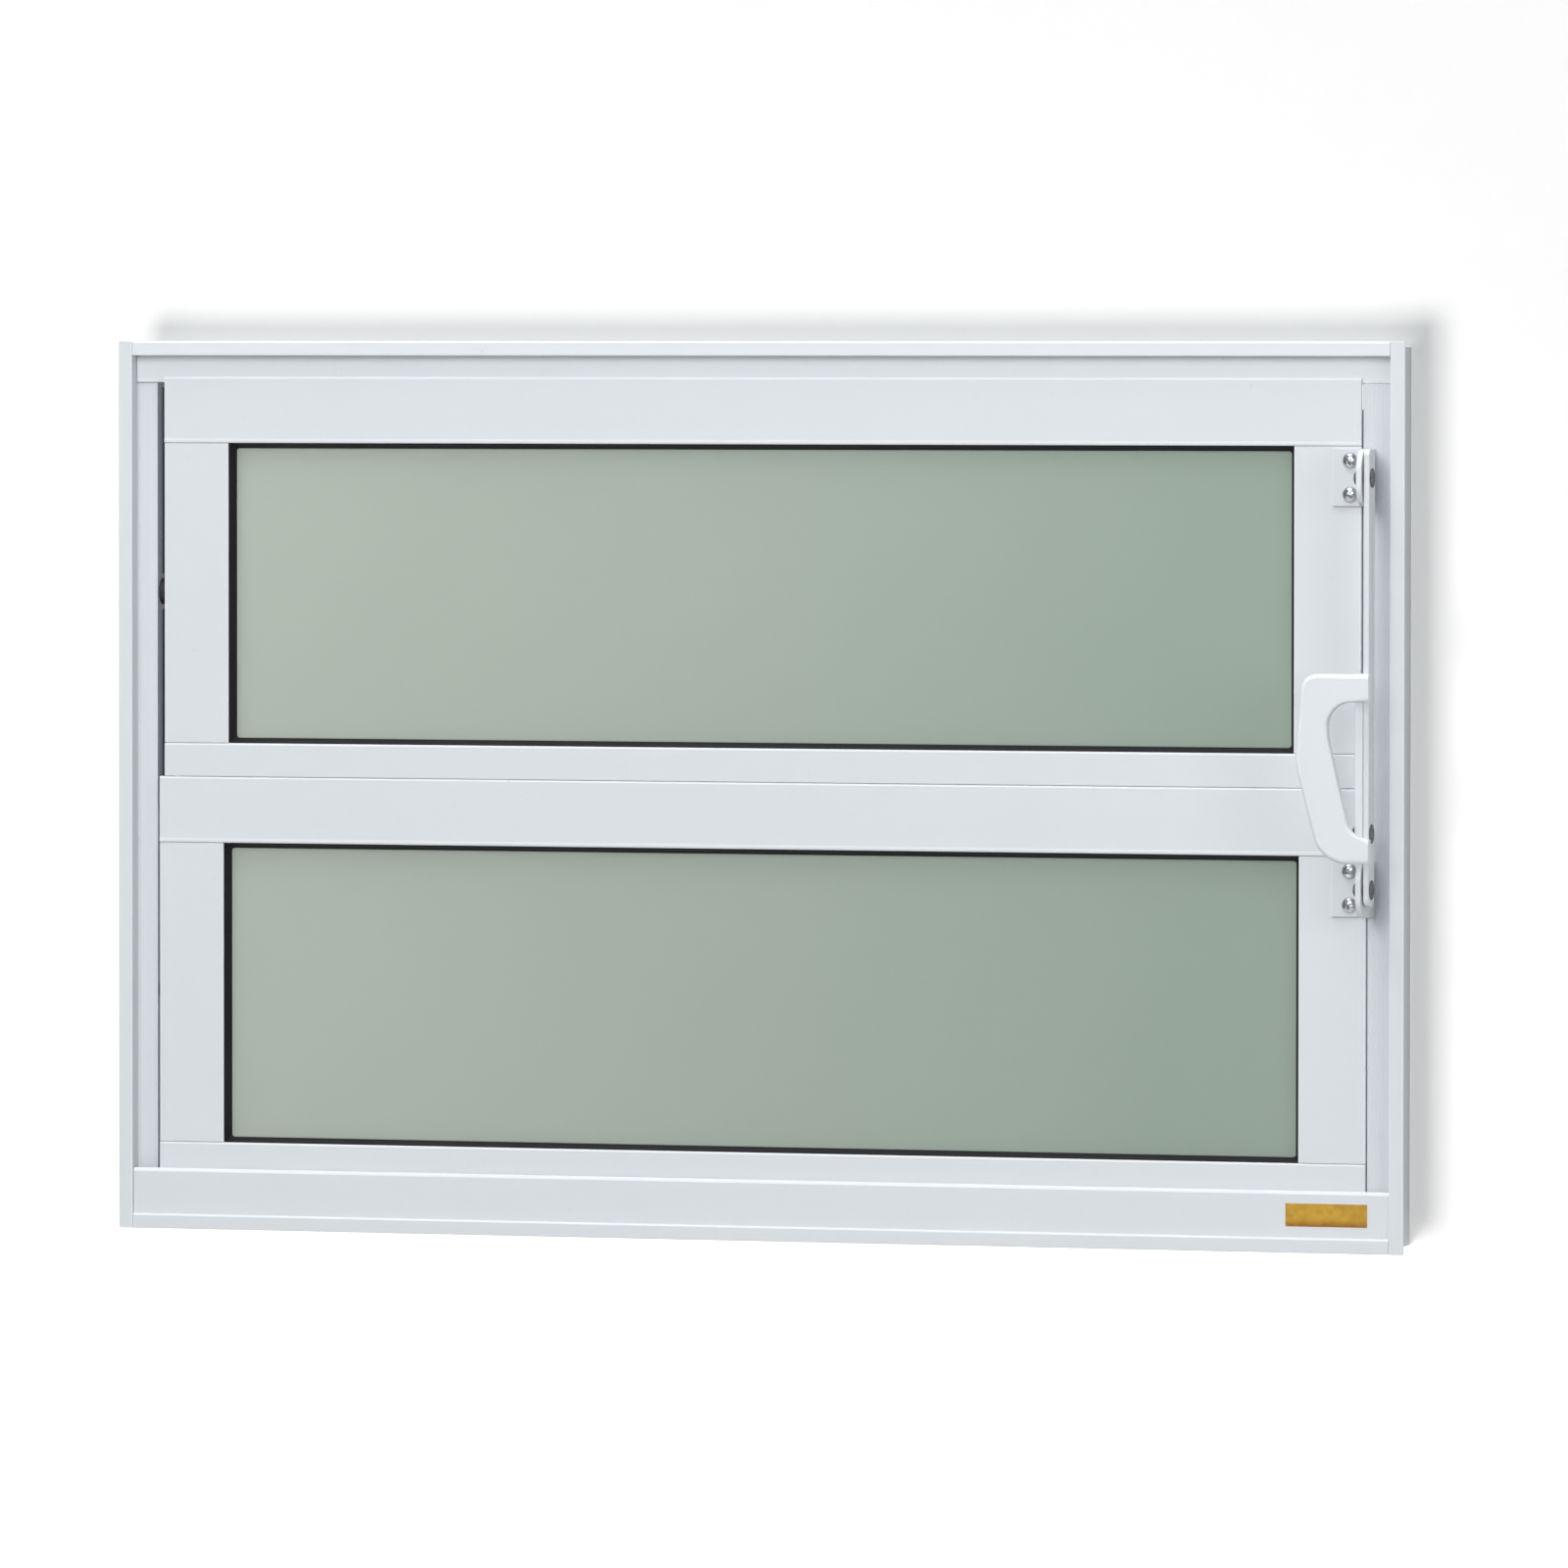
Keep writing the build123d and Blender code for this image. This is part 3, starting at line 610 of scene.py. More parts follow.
# Painted reflection: the tint grows lighter towards the left, as a reflection of the lamps would
# make it, under a faint random cloud.
along = add_node(tree, "ShaderNodeSeparateXYZ", {"Vector": place})
cloud_and_painted_reflection = add_node(tree, "ShaderNodeMapRange", {0: along.outputs["X"], 1: -0.3, 2: 0.25})
cloud_and_painted_reflection = add_node(
    tree, "ShaderNodeMath", {0: cast, 1: 0.2, 2: cloud_and_painted_reflection.outputs[0]}, operation="MULTIPLY_ADD"
)
tone = blended(tree, cloud_and_painted_reflection.outputs[0], (0.515, 0.56, 0.485, 1), (0.335, 0.41, 0.345, 1))
rough = add_node(tree, "ShaderNodeMapRange", {0: frost, 3: 0.42, 4: 0.58})
finish_shader(tree, shader, tone, frost, 0.5, 0.05, rough.outputs[0])
in_groove = 6
pane_stations = [-5.68, -5.38, -2.02, -1.72]
seam = 0.3
for level, (pivot, half_sash) in sashes.items():
    side = half_sash - stile_width + in_groove
    low = pivot + glass_bottom - in_groove
    high = pivot + glass_top + in_groove
    pane = rounded([(low, -side), (high, -side), (high, side), (low, side)], 0.5)
    shape = carried([pane], pane_stations, [seam, 0, 0, seam], "y")
    new_piece(
        f"{level}_pane", [shape], f"{level}_sash", etched, [f"{level}_glass"]
    )

# Link bar: flat aluminium bar on edge, coated with the sashes, rounded at its lower end.
# Rivets at both brackets let it follow them, and the handle is riveted to its left side.
bar_outline = rounded(
    [(-33.75, 147.8), (-24.25, 147.8), (-24.25, 347.8), (-33.75, 347.8)], [4.5, 4.5, 2.5, 2.5]
)
bar_left, bar_right = 286.7, 289.2
shape = bar_of([bar_outline], bar_left, bar_right, "x", 0.25)
new_piece(
    "link_bar_strip", [shape], "link_bar", white_coat, ["link_bar"]
)

# Handle: a thick cast bow that faces the room, enamelled white, with a softly rolled rim that
# steps in all round, but only up or down at the arms' square ends. Two arms reach back to a
# flat spine, which lies on the left side of the link bar.
enamel = coated(
    "soft_enamel", (0.745, 0.765, 0.783), scuff_colour=(0.5, 0.5, 0.5), peel_scale=500.0,
    mottle=0.02, edge=0.1, scuffs=0.1, sheen=(0.32, 0.42), relief=0.03,
)
arm_end = 292.0
lower_arm_low, lower_arm_high = 166.9, 177.7
upper_arm_low, upper_arm_high = 237.5, 249.9
bow_corners = [
    (arm_end, lower_arm_low), (arm_end, lower_arm_high), (283.2, 179.7), (273.3, 222.3),
    (273.3, upper_arm_low), (arm_end, upper_arm_low), (arm_end, upper_arm_high),
    (261.3, upper_arm_high), (258.5, 210.5), (270.0, lower_arm_low),
]
bow_radii = [0.3, 0.3, 9.0, 30.0, 10.5, 0.3, 0.3, 7.5, 30.0, 16.0]
bow = rounded([(z, x) for x, z in bow_corners[::-1]], bow_radii[::-1], steps=12)
bow_z, bow_x = bow.T
at_arm_end = bow_x > arm_end - 1
between_arms = 208
arm_middle = np.where(bow_z > between_arms, 243.7, 172.3)
grip_low, grip_high, grip_left = 177.5, 238, 272
inside_grip = (bow_z > grip_low) & (bow_z < grip_high) & (bow_x > grip_left) & ~at_arm_end
grip_share = 0.35
bow_step = outward(bow) * np.where(inside_grip, grip_share, 1)[:, None]
bow_step[at_arm_end, 0] = np.where(bow_z > arm_middle, 1, -1)[at_arm_end]
bow_step[at_arm_end, 1] = 0
rim_depth = [-45, -45, -44.88, -45, -44.98, -44.82, -44.5, -44.05, -43.55, -43, -40.9, -40.5]
rim_inset = [2.7, 2.62, 2.48, 2.3, 1.9, 1.2, 0.65, 0.28, 0.07, 0, 0, 0.35]
bow_shape = carried([bow], rim_depth, rim_inset, "y", [bow_step])
spine_left = 283.1
spine_low = 174.85
spine = rounded(
    [
        (-34.85, spine_low), (-24.25, spine_low), (-24.25, upper_arm_high),
        (-34.85, upper_arm_high),
    ],
    [0.4, 4.0, 4.0, 0.4],
)
arm_front, arm_back = -40.7, -33.85
foot = rounded(
    [
        (arm_front, spine_low), (-34.6, spine_low), (-34.6, lower_arm_high),
        (arm_front, lower_arm_high),
    ],
    0.3,
)
upper_arm, lower_arm = (
    rounded(
        [(left, arm_front), (bar_right, arm_front), (bar_right, arm_back), (left, arm_back)], 0.4
    )
    for left in (spine_left, bar_left)
)
handle_parts = [
    bow_shape,
    bar_of([spine], spine_left, bar_left - 0.02, "x", 0.3),
    bar_of([foot], spine_left, bar_left, "x", 0.1),
    bar_of([upper_arm], upper_arm_low, upper_arm_high, "z", 0.3),
    bar_of([lower_arm], lower_arm_low, lower_arm_high, "z", 0.3),
]
new_piece("pull_handle", handle_parts, "link_bar", enamel, ["handle"])

# Pivots and bushes: a zinc-plated steel pin with a collar behind each stile's outer wall.
# It runs in a black nylon bush, pressed through the jamb's wall, whose flange spaces the sash.
metal, given, result = new_group(
    "turned_metal",
    [
        ("Bright", "NodeSocketColor", (0.8, 0.8, 0.8, 1)),
        ("Dull", "NodeSocketColor", (0.4, 0.4, 0.4, 1)),
        ("Stain scale", "NodeSocketFloat", 300.0),
        ("Stain", "NodeSocketFloat", 0.5),
        ("Polish", "NodeSocketFloat", 0.25),
    ],
    [
        ("Color", "NodeSocketColor"),
        ("Roughness", "NodeSocketFloat"),
        ("Height", "NodeSocketFloat"),
    ],
)
place = add_node(metal, "ShaderNodeTexCoord").outputs["Object"]
stain = noise(metal, place, given.outputs["Stain scale"], 5.0, Roughness=0.65)
share = add_node(
    metal, "ShaderNodeMapRange", {0: stain, 1: 0.35, 2: 0.7, 3: 0.0, 4: given.outputs["Stain"]}
)
tone = blended(metal, share.outputs[0], given.outputs["Bright"], given.outputs["Dull"])
polish = add_node(
    metal, "ShaderNodeMath",
    {0: share.outputs[0], 1: 0.3, 2: given.outputs["Polish"]}, operation="MULTIPLY_ADD",
)
metal.links.new(tone, result.inputs["Color"])
metal.links.new(polish.outputs[0], result.inputs["Roughness"])
metal.links.new(noise(metal, place, 3000.0, 2.0), result.inputs["Height"])


def metallic(name, bright, dull, stain_scale, stain, polish):
    """Bare or plated metal whose colour, roughness and relief come from the metal group."""
    made, tree, shader = new_material(name, 0.3, Metallic=1.0)
    skin = add_node(
        tree, "ShaderNodeGroup",
        {
            "Bright": (*bright, 1), "Dull": (*dull, 1), "Stain scale": stain_scale,
            "Stain": stain, "Polish": polish,
        },
        node_tree=metal,
    ).outputs
    finish_shader(tree, shader, skin["Color"], skin["Height"], 0.3, 0.02, skin["Roughness"])
    return made


zinc = metallic(
    "bright_zinc", (0.62, 0.63, 0.65), (0.34, 0.34, 0.35), stain_scale=500.0, stain=0.5,
    polish=0.18,
)
nylon, tree, shader = new_material("black_nylon", 0.45, Specular_IOR_Level=0.35)
place = add_node(tree, "ShaderNodeTexCoord").outputs["Object"]
flow = noise(tree, place, 260.0, 3.0)
tone = blended(tree, flow, (0.016, 0.015, 0.021, 1), (0.028, 0.026, 0.034, 1))
tree.links.new(tone, shader.inputs["Base Color"])


def turned(outline, closed=False, around=48):
    """Outline of (radius, height) points turned once about the height axis.

    An open outline starts and ends on the axis, where fans of triangles close it; a closed
    one makes a ring.
    """
    outline = np.asarray(outline, float)
    rings = outline if closed else outline[1:-1]
    angle = 2 * np.pi * np.arange(around) / around
    u = rings[:, :1] * np.cos(angle)
    v = rings[:, :1] * np.sin(angle)
    points = np.stack([u, v, np.broadcast_to(rings[:, 1:], u.shape)], -1).reshape(-1, 3)
    index = np.arange(len(points)).reshape(u.shape)
    low, high = (index, np.roll(index, -1, 0)) if closed else (index[:-1], index[1:])
    quads = np.stack([low, np.roll(low, -1, 1), np.roll(high, -1, 1), high], -1).reshape(-1, 4)
    if closed:
        return points, quads, np.zeros((0, 3), int)
    poles = np.array([[0, 0, outline[0, 1]], [0, 0, outline[-1, 1]]])
    bottom, top = len(points), len(points) + 1
    first, last = index[0], index[-1]
    under = np.stack([np.full(around, bottom), np.roll(first, -1), first], 1)
    over = np.stack([np.full(around, top), last, np.roll(last, -1)], 1)
    return np.concatenate([points, poles]), quads, np.concatenate([under, over])


def along_x(part, centre_y, centre_z):
    """A turned shape laid along the window, its height becoming the place along X."""
    points, quads, triangles = part
    return points[:, [2, 0, 1]] + [0, centre_y, centre_z], quads, triangles


pin_radius = 3
collar_radius, collar_length = 5, 3
bore_radius = 3.06
spigot_radius = 4.5
flange_radius = 6
pin_end = jamb_face + 6
for level, (pivot, half_sash) in sashes.items():
    collar_end = half_sash - 1.33
    collar_start = collar_end - collar_length
    pin = [
        (0, collar_start), (collar_radius - 0.3, collar_start),
        (collar_radius, collar_start + 0.3), (collar_radius, collar_end),
        (pin_radius, collar_end), (pin_radius, pin_end - 0.6), (pin_radius - 0.5, pin_end),
        (0, pin_end),
    ]
    flange = half_sash + 0.5
    bush = [
        (bore_radius, flange), (flange_radius - 0.3, flange), (flange_radius, flange + 0.3),
        (flange_radius, jamb_face), (spigot_radius, jamb_face), (spigot_radius, pin_end - 0.4),
        (spigot_radius - 0.4, pin_end), (bore_radius, pin_end),
    ]
    pins_and_bushes = [along_x(turned(pin), 0, pivot), along_x(turned(bush, closed=True), 0, pivot)]
    for side in ("right", "left"):
        if side == "left":
            pins_and_bushes = [mirrored(part) for part in pins_and_bushes]
        pin_shape, bush_shape = pins_and_bushes
        new_piece(
            f"{level}_{side}_pivot_pin", [pin_shape], f"{level}_sash", zinc,
            [f"{level}_{side}_pivot"],
        )
        new_piece(
            f"{level}_{side}_pivot_bush", [bush_shape], "frame", nylon,
            [f"{level}_{side}_bush"],
        )

# Pile seals: dark woven-pile strips stuck to the jambs in the gaps beside the sashes.
# Their tufts brush the sash's side, and each strip is broken at the pivot bush.
pile, tree, shader = new_material("navy_pile", 0.9, Specular_IOR_Level=0.2)
place = add_node(tree, "ShaderNodeTexCoord").outputs["Object"]
tufts = noise(tree, place, 2400.0, 3.0)
tone = blended(tree, tufts, (0.012, 0.018, 0.035, 1), (0.06, 0.08, 0.12, 1))
finish_shader(tree, shader, tone, tufts, strength=0.8, depth=0.2)
pile_depth = 5
seal_low, seal_high = -86, 92
bush_space = 8


def pile_strip(tip, front, low, high):
    """Strip of tufts between the jamb's face and a ragged tip.

    Its section is a block with a rounded tip; along the strip every point is pulled back
    towards the jamb by two sums of sines, in proportion to its distance from the jamb.
    """
    back = front + pile_depth
    corners = [(tip, front), (jamb_face, front), (jamb_face, back), (tip, back)]
    section = rounded(corners, [0.6, 0.1, 0.1, 0.6])
    height = np.linspace(low, high, 241)
    points, quads, triangles = carried([section], height, 0 * height, "z")
    reach = (jamb_face - points[:, 0]) / (jamb_face - tip)
    ragged = np.sin(9.1 * points[:, 2] + 2 * points[:, 1]) + np.sin(15.7 * points[:, 2])
    ragged += 0.6 * np.sin(4.3 * points[:, 2] - 3 * points[:, 1])
    points[:, 0] += reach * (0.12 + 0.045 * ragged)
    return points, quads, triangles


for level, (pivot, half_sash) in sashes.items():
    tip = half_sash + 0.4
    for side, front in (("right", 4), ("left", -1.3)):
        strips = [
            pile_strip(tip, front, pivot + seal_low, pivot - bush_space),
            pile_strip(tip, front, pivot + bush_space, pivot + seal_high),
        ]
        if side == "left":
            strips = [mirrored(strip) for strip in strips]
        new_piece(
            f"{level}_{side}_pile_seal", strips, "frame", pile,
            [f"{level}_{side}_seal"],
        )

# Brackets: short folded angles, coated white, one screwed to each right-hand stile.
# The leg that faces the link bar has two well-rounded front corners: at each height it
# reaches forward as far as the corner's circle does.
plate_face, leg_front = -12.5, -35.5
leg_left, leg_right = 283.5, 286
bracket_section = rounded(
    [
        (266.5, plate_face), (leg_left, plate_face), (leg_left, leg_front),
        (leg_right, leg_front), (leg_right, sash_front), (266.5, sash_front),
    ],
    [0.4, 0.8, 0.5, 0.5, 1.8, 0.3],
)
corner_start, corner_radius = 3.55, 9
corner_turn = np.radians(np.linspace(0, 90, 13))
corner_height = corner_start + corner_radius * np.sin(corner_turn)
bracket_height = np.concatenate([-corner_height[::-1], corner_height])
bracket_inset = np.zeros(len(bracket_height))
bracket_inset[[0, -1]] = 0.2
points, quads, triangles = carried([bracket_section], bracket_height, bracket_inset, "z")
leg_length = plate_face - leg_front
off_corner = np.clip(np.abs(points[:, 2]) - corner_start, 0, corner_radius)
reach = leg_length - corner_radius + np.sqrt(corner_radius**2 - off_corner**2)
in_leg = points[:, 1] < plate_face - 0.1
drawn_in = (points[:, 1] - plate_face) * reach / leg_length
points[in_leg, 1] = plate_face + drawn_in[in_leg]
bracket_shape = (points, quads, triangles)
pins = {"upper": 335.2, "lower": 155.2}
for level, pin_height in pins.items():
    new_piece(
        f"{level}_folded_bracket", [raised(bracket_shape, pin_height)], f"{level}_sash",
        white_coat, [f"{level}_bracket"],
    )

# Screws: pan heads with a cross recess, bright zinc, two in each bracket.
# The recess's walls slope, and each screw stopped at its own angle.
head_radius, head_height = 3.5, 2.4
cross_arm, cross_length, cross_depth = 0.62, 2.1, 1.35
arm_slope, end_slope = 0.28, 0.45
head_sides = 120


def pan_head(centre_x, height, turned_by):
    """Screw head seen from the room.

    Radius and height follow a superellipse of power 2.4 from the crown to the rim, and the
    cross is cut from the height where the smaller of |u| and |v| lies within an arm's width
    and the larger within its length.
    """
    lift = np.radians(np.linspace(2, 90, 44))[:, None]
    angle = 2 * np.pi * np.arange(head_sides)[None] / head_sides
    radius = head_radius * np.sin(lift) ** (2 / 2.4)
    crown = head_height * np.cos(lift).clip(0, 1) ** (2 / 2.4)
    u, v = radius * np.cos(angle), radius * np.sin(angle)
    p = u * np.cos(turned_by) + v * np.sin(turned_by)
    q = v * np.cos(turned_by) - u * np.sin(turned_by)
    near, far = np.minimum(abs(p), abs(q)), np.maximum(abs(p), abs(q))
    arm = np.clip((cross_arm - near) / arm_slope, 0, 1)
    arm *= np.clip((cross_length - far) / end_slope, 0, 1)
    top = crown - cross_depth * arm * arm * (3 - 2 * arm)
    points = np.stack([u, v, top], -1).reshape(-1, 3)
    index = np.arange(len(points)).reshape(u.shape)
    ahead = np.roll(index, -1, 1)
    quads = np.stack([index[1:], ahead[1:], ahead[:-1], index[:-1]], -1).reshape(-1, 4)
    poles = np.array([[0, 0, head_height - cross_depth], [0, 0, 0]])
    crown_pole, seat_pole = len(points), len(points) + 1
    over = np.stack([np.full(head_sides, crown_pole), index[0], ahead[0]], 1)
    under = np.stack([np.full(head_sides, seat_pole), ahead[-1], index[-1]], 1)
    u, v, top = np.concatenate([points, poles]).T
    placed = np.stack([centre_x + u, plate_face - top, height + v], 1)
    return placed, quads, np.concatenate([over, under])


screw_x = 274.8
screw_rise = 7.45
screw_turns = {"upper": (0.35, 0.75), "lower": (1.05, 0.2)}
for level, pin_height in pins.items():
    heads = [
        pan_head(screw_x, pin_height + screw_rise, screw_turns[level][0]),
        pan_head(screw_x, pin_height - screw_rise, screw_turns[level][1]),
    ]
    new_piece(
        f"{level}_pan_head_screws", heads, f"{level}_sash", zinc,
        [f"{level}_bracket_screws"],
    )

# Rivets: dull grey steel, one through each bracket and the bar, and one in the handle.
# A plain washer of black nylon keeps each bracket off the bar.
steel = metallic(
    "rivet_steel_skin", (0.17, 0.172, 0.185), (0.075, 0.068, 0.066), stain_scale=420.0,
    stain=0.9, polish=0.38,
)
rivet_y = -29
handle_rivet_height = 179.75
shank_radius = 2.4
tail_radius, tail_length = 3.1, 2
rivet_head_radius = 4.3
rim_rise, dome_rise = 0.1, 0.25


def rivet(grip_x, head_x):
    """Rivet turned about its axis: a formed tail up to grip_x, the shank, and a low head.

    The head's dome is a quarter of an ellipse, from the rim at its radius to the crown.
    """
    tail_x = grip_x - tail_length
    lift = np.linspace(1, 0, 9)[:-1] * np.pi / 2
    dome_x = head_x + rim_rise + dome_rise * np.cos(lift)
    dome = np.stack([rivet_head_radius * np.sin(lift), dome_x], 1)
    start = [
        (0, tail_x), (tail_radius - 0.6, tail_x), (tail_radius, tail_x + 0.5),
        (tail_radius, grip_x), (shank_radius, grip_x), (shank_radius, head_x),
        (rivet_head_radius - 0.1, head_x), (rivet_head_radius, head_x + 0.05),
    ]
    return turned(np.concatenate([start, dome, [(0, head_x + rim_rise + dome_rise)]]))


washer_left = bar_left - 0.6
washer = [
    (2.46, washer_left), (4.4, washer_left), (4.5, washer_left + 0.1), (4.5, bar_left - 0.1),
    (4.4, bar_left), (2.46, bar_left),
]
for level, pin_height in pins.items():
    new_piece(
        f"{level}_link_rivet_steel",
        [along_x(rivet(leg_left, bar_right + 0.1), rivet_y, pin_height)],
        f"{level}_sash", steel, [f"{level}_link_rivet"],
    )
    new_piece(
        f"{level}_link_spacer", [along_x(turned(washer, closed=True), rivet_y, pin_height)],
        "link_bar", nylon, [f"{level}_link_washer"],
    )
new_piece(
    "handle_rivet_steel",
    [along_x(rivet(spine_left, bar_right), rivet_y, handle_rivet_height)], "link_bar",
    steel, ["handle_rivet"],
)

# Label: a blank sticker of gold foil on the sill's upstand, near its right-hand end.
# Its corners have begun to lift, and the foil is slightly crinkled.
foil, tree, shader = new_material("gold_foil", 0.4, Metallic=0.35)
place = add_node(tree, "ShaderNodeTexCoord").outputs["Object"]
crinkle = noise(tree, place, 420.0, 4.0)
tarnish = noise(tree, place, 230.0, 4.0)
height = add_node(tree, "ShaderNodeSeparateXYZ", {"Vector": place})
# Darker towards the bottom, and darker still in random tarnished patches.
darker_low_and_tarnish = add_node(
    tree, "ShaderNodeMapRange", {0: height.outputs["Z"], 1: 0.0095, 2: 0.0065, 3: -0.3, 4: 0.45}
)
darker_low_and_tarnish = add_node(
    tree, "ShaderNodeMath", {0: tarnish, 1: 1.1, 2: darker_low_and_tarnish.outputs[0]},
    operation="MULTIPLY_ADD", use_clamp=True,
)
tone = blended(tree, darker_low_and_tarnish.outputs[0], (0.62, 0.37, 0.04, 1), (0.34, 0.13, 0.012, 1))
finish_shader(tree, shader, tone, crinkle, strength=0.6, depth=0.12)
across, up = np.meshgrid(np.linspace(-1, 1, 97), np.linspace(-1, 1, 33))
lift = 0.22 * np.abs(across) ** 14 * np.abs(up) ** 4
lift += 0.02 * np.sin(9 * across + 3 * up) * np.sin(5 * up - 4 * across) + 0.03
centre_x, centre_z = 264.9, 11.4
half_width, half_height = 18.6, 5.05
upstand_face, foil_thickness = -13.84, 0.04
label_x = centre_x + half_width * across
label_z = centre_z + half_height * up
front = np.stack([label_x, upstand_face - lift, label_z], -1).reshape(-1, 3)
back = front + [0, foil_thickness, 0]
index = np.arange(front.shape[0]).reshape(across.shape)
cell = [index[:-1, :-1], index[:-1, 1:], index[1:, 1:], index[1:, :-1]]
faces = np.stack(cell, -1).reshape(-1, 4)
rim_line = np.concatenate([index[0, :-1], index[:-1, -1], index[-1, :0:-1], index[:0:-1, 0]])
rim_next = np.roll(rim_line, -1)
side = np.stack([rim_line, rim_line + len(front), rim_next + len(front), rim_next], 1)
label_faces = np.concatenate([faces, faces[:, ::-1] + len(front), side])
label_shape = (np.concatenate([front, back]), label_faces, np.zeros((0, 3), int))
new_piece("blank_foil_label", [label_shape], "frame", foil)

# Camera: a long lens to the right of the window, a little above its middle.
# Its place, angles and focal length were fitted to the corners of the frame.
camera_data = bpy.data.cameras.new("camera")
camera_data.sensor_width = 36
camera_data.lens = 308.36
camera = bpy.data.objects.new("camera", camera_data)
bpy.context.scene.collection.objects.link(camera)
azimuth, elevation, roll = np.radians([17.7612, 1.8036, 0.0446])
camera.matrix_world = (
    Matrix.Translation((1.83337, -5.69094, 0.38601))
    @ Matrix.Rotation(azimuth, 4, "Z")
    @ Matrix.Rotation(np.pi / 2 - elevation, 4, "X")
    @ Matrix.Rotation(roll, 4, "Z")
)
bpy.context.scene.camera = camera


# Studio: a white wall with an opening behind the window, a white floor, and a dim room light.
# One soft lamp at the lower left lights the wall and five others the window. The front light
# is two lamps in one place, and one of them lets the handle cast no shadow.
def backdrop(name, glow, corners, faces):
    """Flat stage piece that glows a little to the eye, and still takes the window's shadow."""
    mesh = bpy.data.meshes.new(name)
    mesh.from_pydata(corners, [], faces)
    made = bpy.data.objects.new(name, mesh)
    bpy.context.scene.collection.objects.link(made)
    finish = bpy.data.materials.new(name)
    finish.use_nodes = True
    tree = finish.node_tree
    tree.nodes.clear()
    end = tree.nodes.new("ShaderNodeOutputMaterial")
    light_path = tree.nodes.new("ShaderNodeLightPath")
    seen = add_node(
        tree, "ShaderNodeMath",
        {0: light_path.outputs["Is Camera Ray"], 1: light_path.outputs["Is Glossy Ray"]},
        operation="MAXIMUM",
    )
    seen = add_node(
        tree, "ShaderNodeMath",
        {0: seen.outputs[0], 1: light_path.outputs["Is Transmission Ray"]}, operation="MAXIMUM",
    )
    strength = add_node(
        tree, "ShaderNodeMath", {0: seen.outputs[0], 1: glow}, operation="MULTIPLY"
    )
    lit = add_node(tree, "ShaderNodeBsdfDiffuse", {"Color": (0.93, 0.91, 0.88, 1)})
    shine = add_node(tree, "ShaderNodeEmission", {"Strength": strength.outputs[0]})
    both = add_node(tree, "ShaderNodeAddShader", {0: lit.outputs[0], 1: shine.outputs[0]})
    clear = tree.nodes.new("ShaderNodeBsdfTransparent")
    behind = tree.nodes.new("ShaderNodeNewGeometry").outputs["Backfacing"]
    mixed = add_node(
        tree, "ShaderNodeMixShader", {0: behind, 1: both.outputs[0], 2: clear.outputs[0]}
    )
    tree.links.new(mixed.outputs[0], end.inputs["Surface"])
    made.data.materials.append(finish)
    made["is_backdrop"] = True


wall_y = 0.0165
floor_z = -2.0
niche_depth = 0.1
reach = 4
outer = [(-reach, floor_z), (reach, floor_z), (reach, reach), (-reach, reach)]
opening = [(-0.29, 0.002), (0.29, 0.002), (0.29, 0.385), (-0.29, 0.385)]
wall_corners = [(x, wall_y, z) for x, z in outer + opening]
wall_corners += [(x, wall_y + niche_depth, z) for x, z in opening]
around = [(i, (i + 1) % 4, (i + 1) % 4 + 4, i + 4) for i in range(4)]
reveal = [(i + 4, (i + 1) % 4 + 4, (i + 1) % 4 + 8, i + 8) for i in range(4)]
floor_corners = [
    (x, y, floor_z) for x, y in ((-reach, -8), (reach, -8), (reach, reach), (-reach, reach))
]
backdrop("wall", 0.28, wall_corners, around)
backdrop("niche", 0.62, wall_corners, reveal + [(8, 9, 10, 11)])
backdrop("floor", 0.34, floor_corners, [(0, 1, 2, 3)])


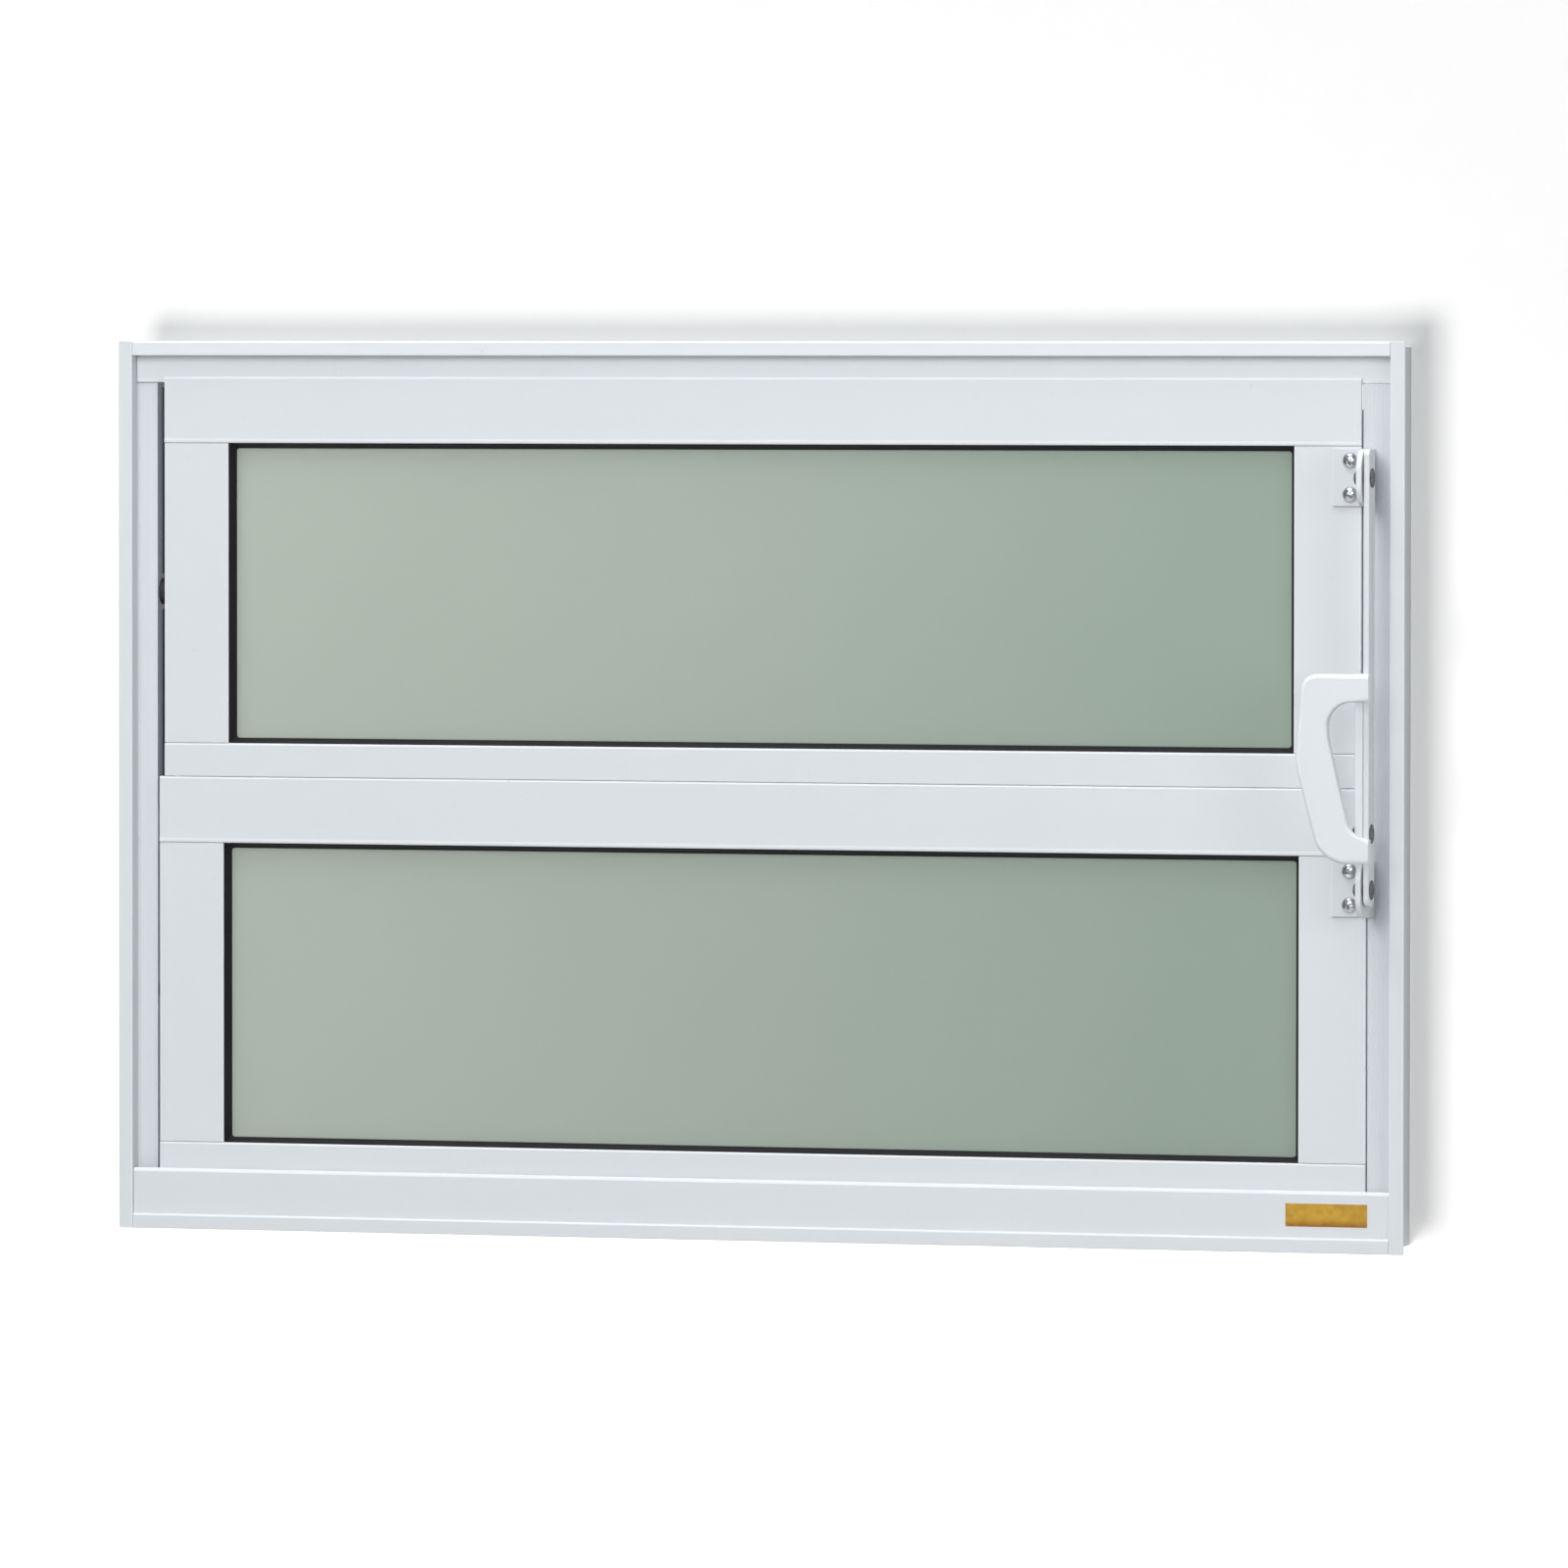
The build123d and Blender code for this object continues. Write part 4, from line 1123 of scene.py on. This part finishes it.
def softbox(name, place, size, power, lit, shadows=None):
    """Square area lamp that faces the window and lights only the given objects.

    Only the objects in shadows cast its shadow, or all of them where none are given.
    """
    data = bpy.data.lights.new(name, "AREA")
    data.size = size
    data.energy = power
    lamp = bpy.data.objects.new(name, data)
    lamp.location = place
    ahead = window_middle - Vector(place)
    lamp.rotation_euler = ahead.to_track_quat("-Z", "Y").to_euler()
    bpy.context.scene.collection.objects.link(lamp)
    lamp.light_linking.receiver_collection = lit
    if shadows:
        lamp.light_linking.blocker_collection = shadows


window = bpy.data.collections.new("window")
studio = bpy.data.collections.new("studio")
shadow_makers = bpy.data.collections.new("shadow_makers")
for thing in bpy.context.scene.objects:
    if thing.type == "MESH":
        (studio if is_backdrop(thing) else window).objects.link(thing)
        if thing.name != "pull_handle":
            shadow_makers.objects.link(thing)
window_middle = Vector((0, 0, 0.2))
front_light = (-0.1, -4.2, 1.85)
softbox("wall_softbox", (-0.85, -4.1, -1.4), 2.0, 142, studio)
softbox("front_softbox", front_light, 2.2, 40, window)
softbox("front_fill", front_light, 2.2, 67, window, shadow_makers)
softbox("rear_softbox", (-1.4, 3.6, 1.6), 1.8, 95, window, window)
softbox("overhead_softbox", (-0.3, -0.9, 2.6), 1.6, 33, window)
softbox("right_softbox", (2.2, -1.6, 0.6), 1.0, 11, window)

room_light = 0.26
world = bpy.data.worlds.new("studio")
bpy.context.scene.world = world
world.use_nodes = True
tree = world.node_tree
light_path = tree.nodes.new("ShaderNodeLightPath")
seen = add_node(
    tree, "ShaderNodeMath",
    {0: light_path.outputs["Is Camera Ray"], 1: light_path.outputs["Is Transmission Ray"]},
    operation="MAXIMUM",
)
strength = add_node(tree, "ShaderNodeMapRange", {0: seen.outputs[0], 3: room_light, 4: 1.0})
hue = blended(tree, seen.outputs[0], (0.80, 0.90, 1.0, 1), (1, 1, 1, 1))
sky = tree.nodes["Background"]
tree.links.new(hue, sky.inputs["Color"])
tree.links.new(strength.outputs[0], sky.inputs["Strength"])

bpy.context.scene.view_settings.view_transform = "Standard"
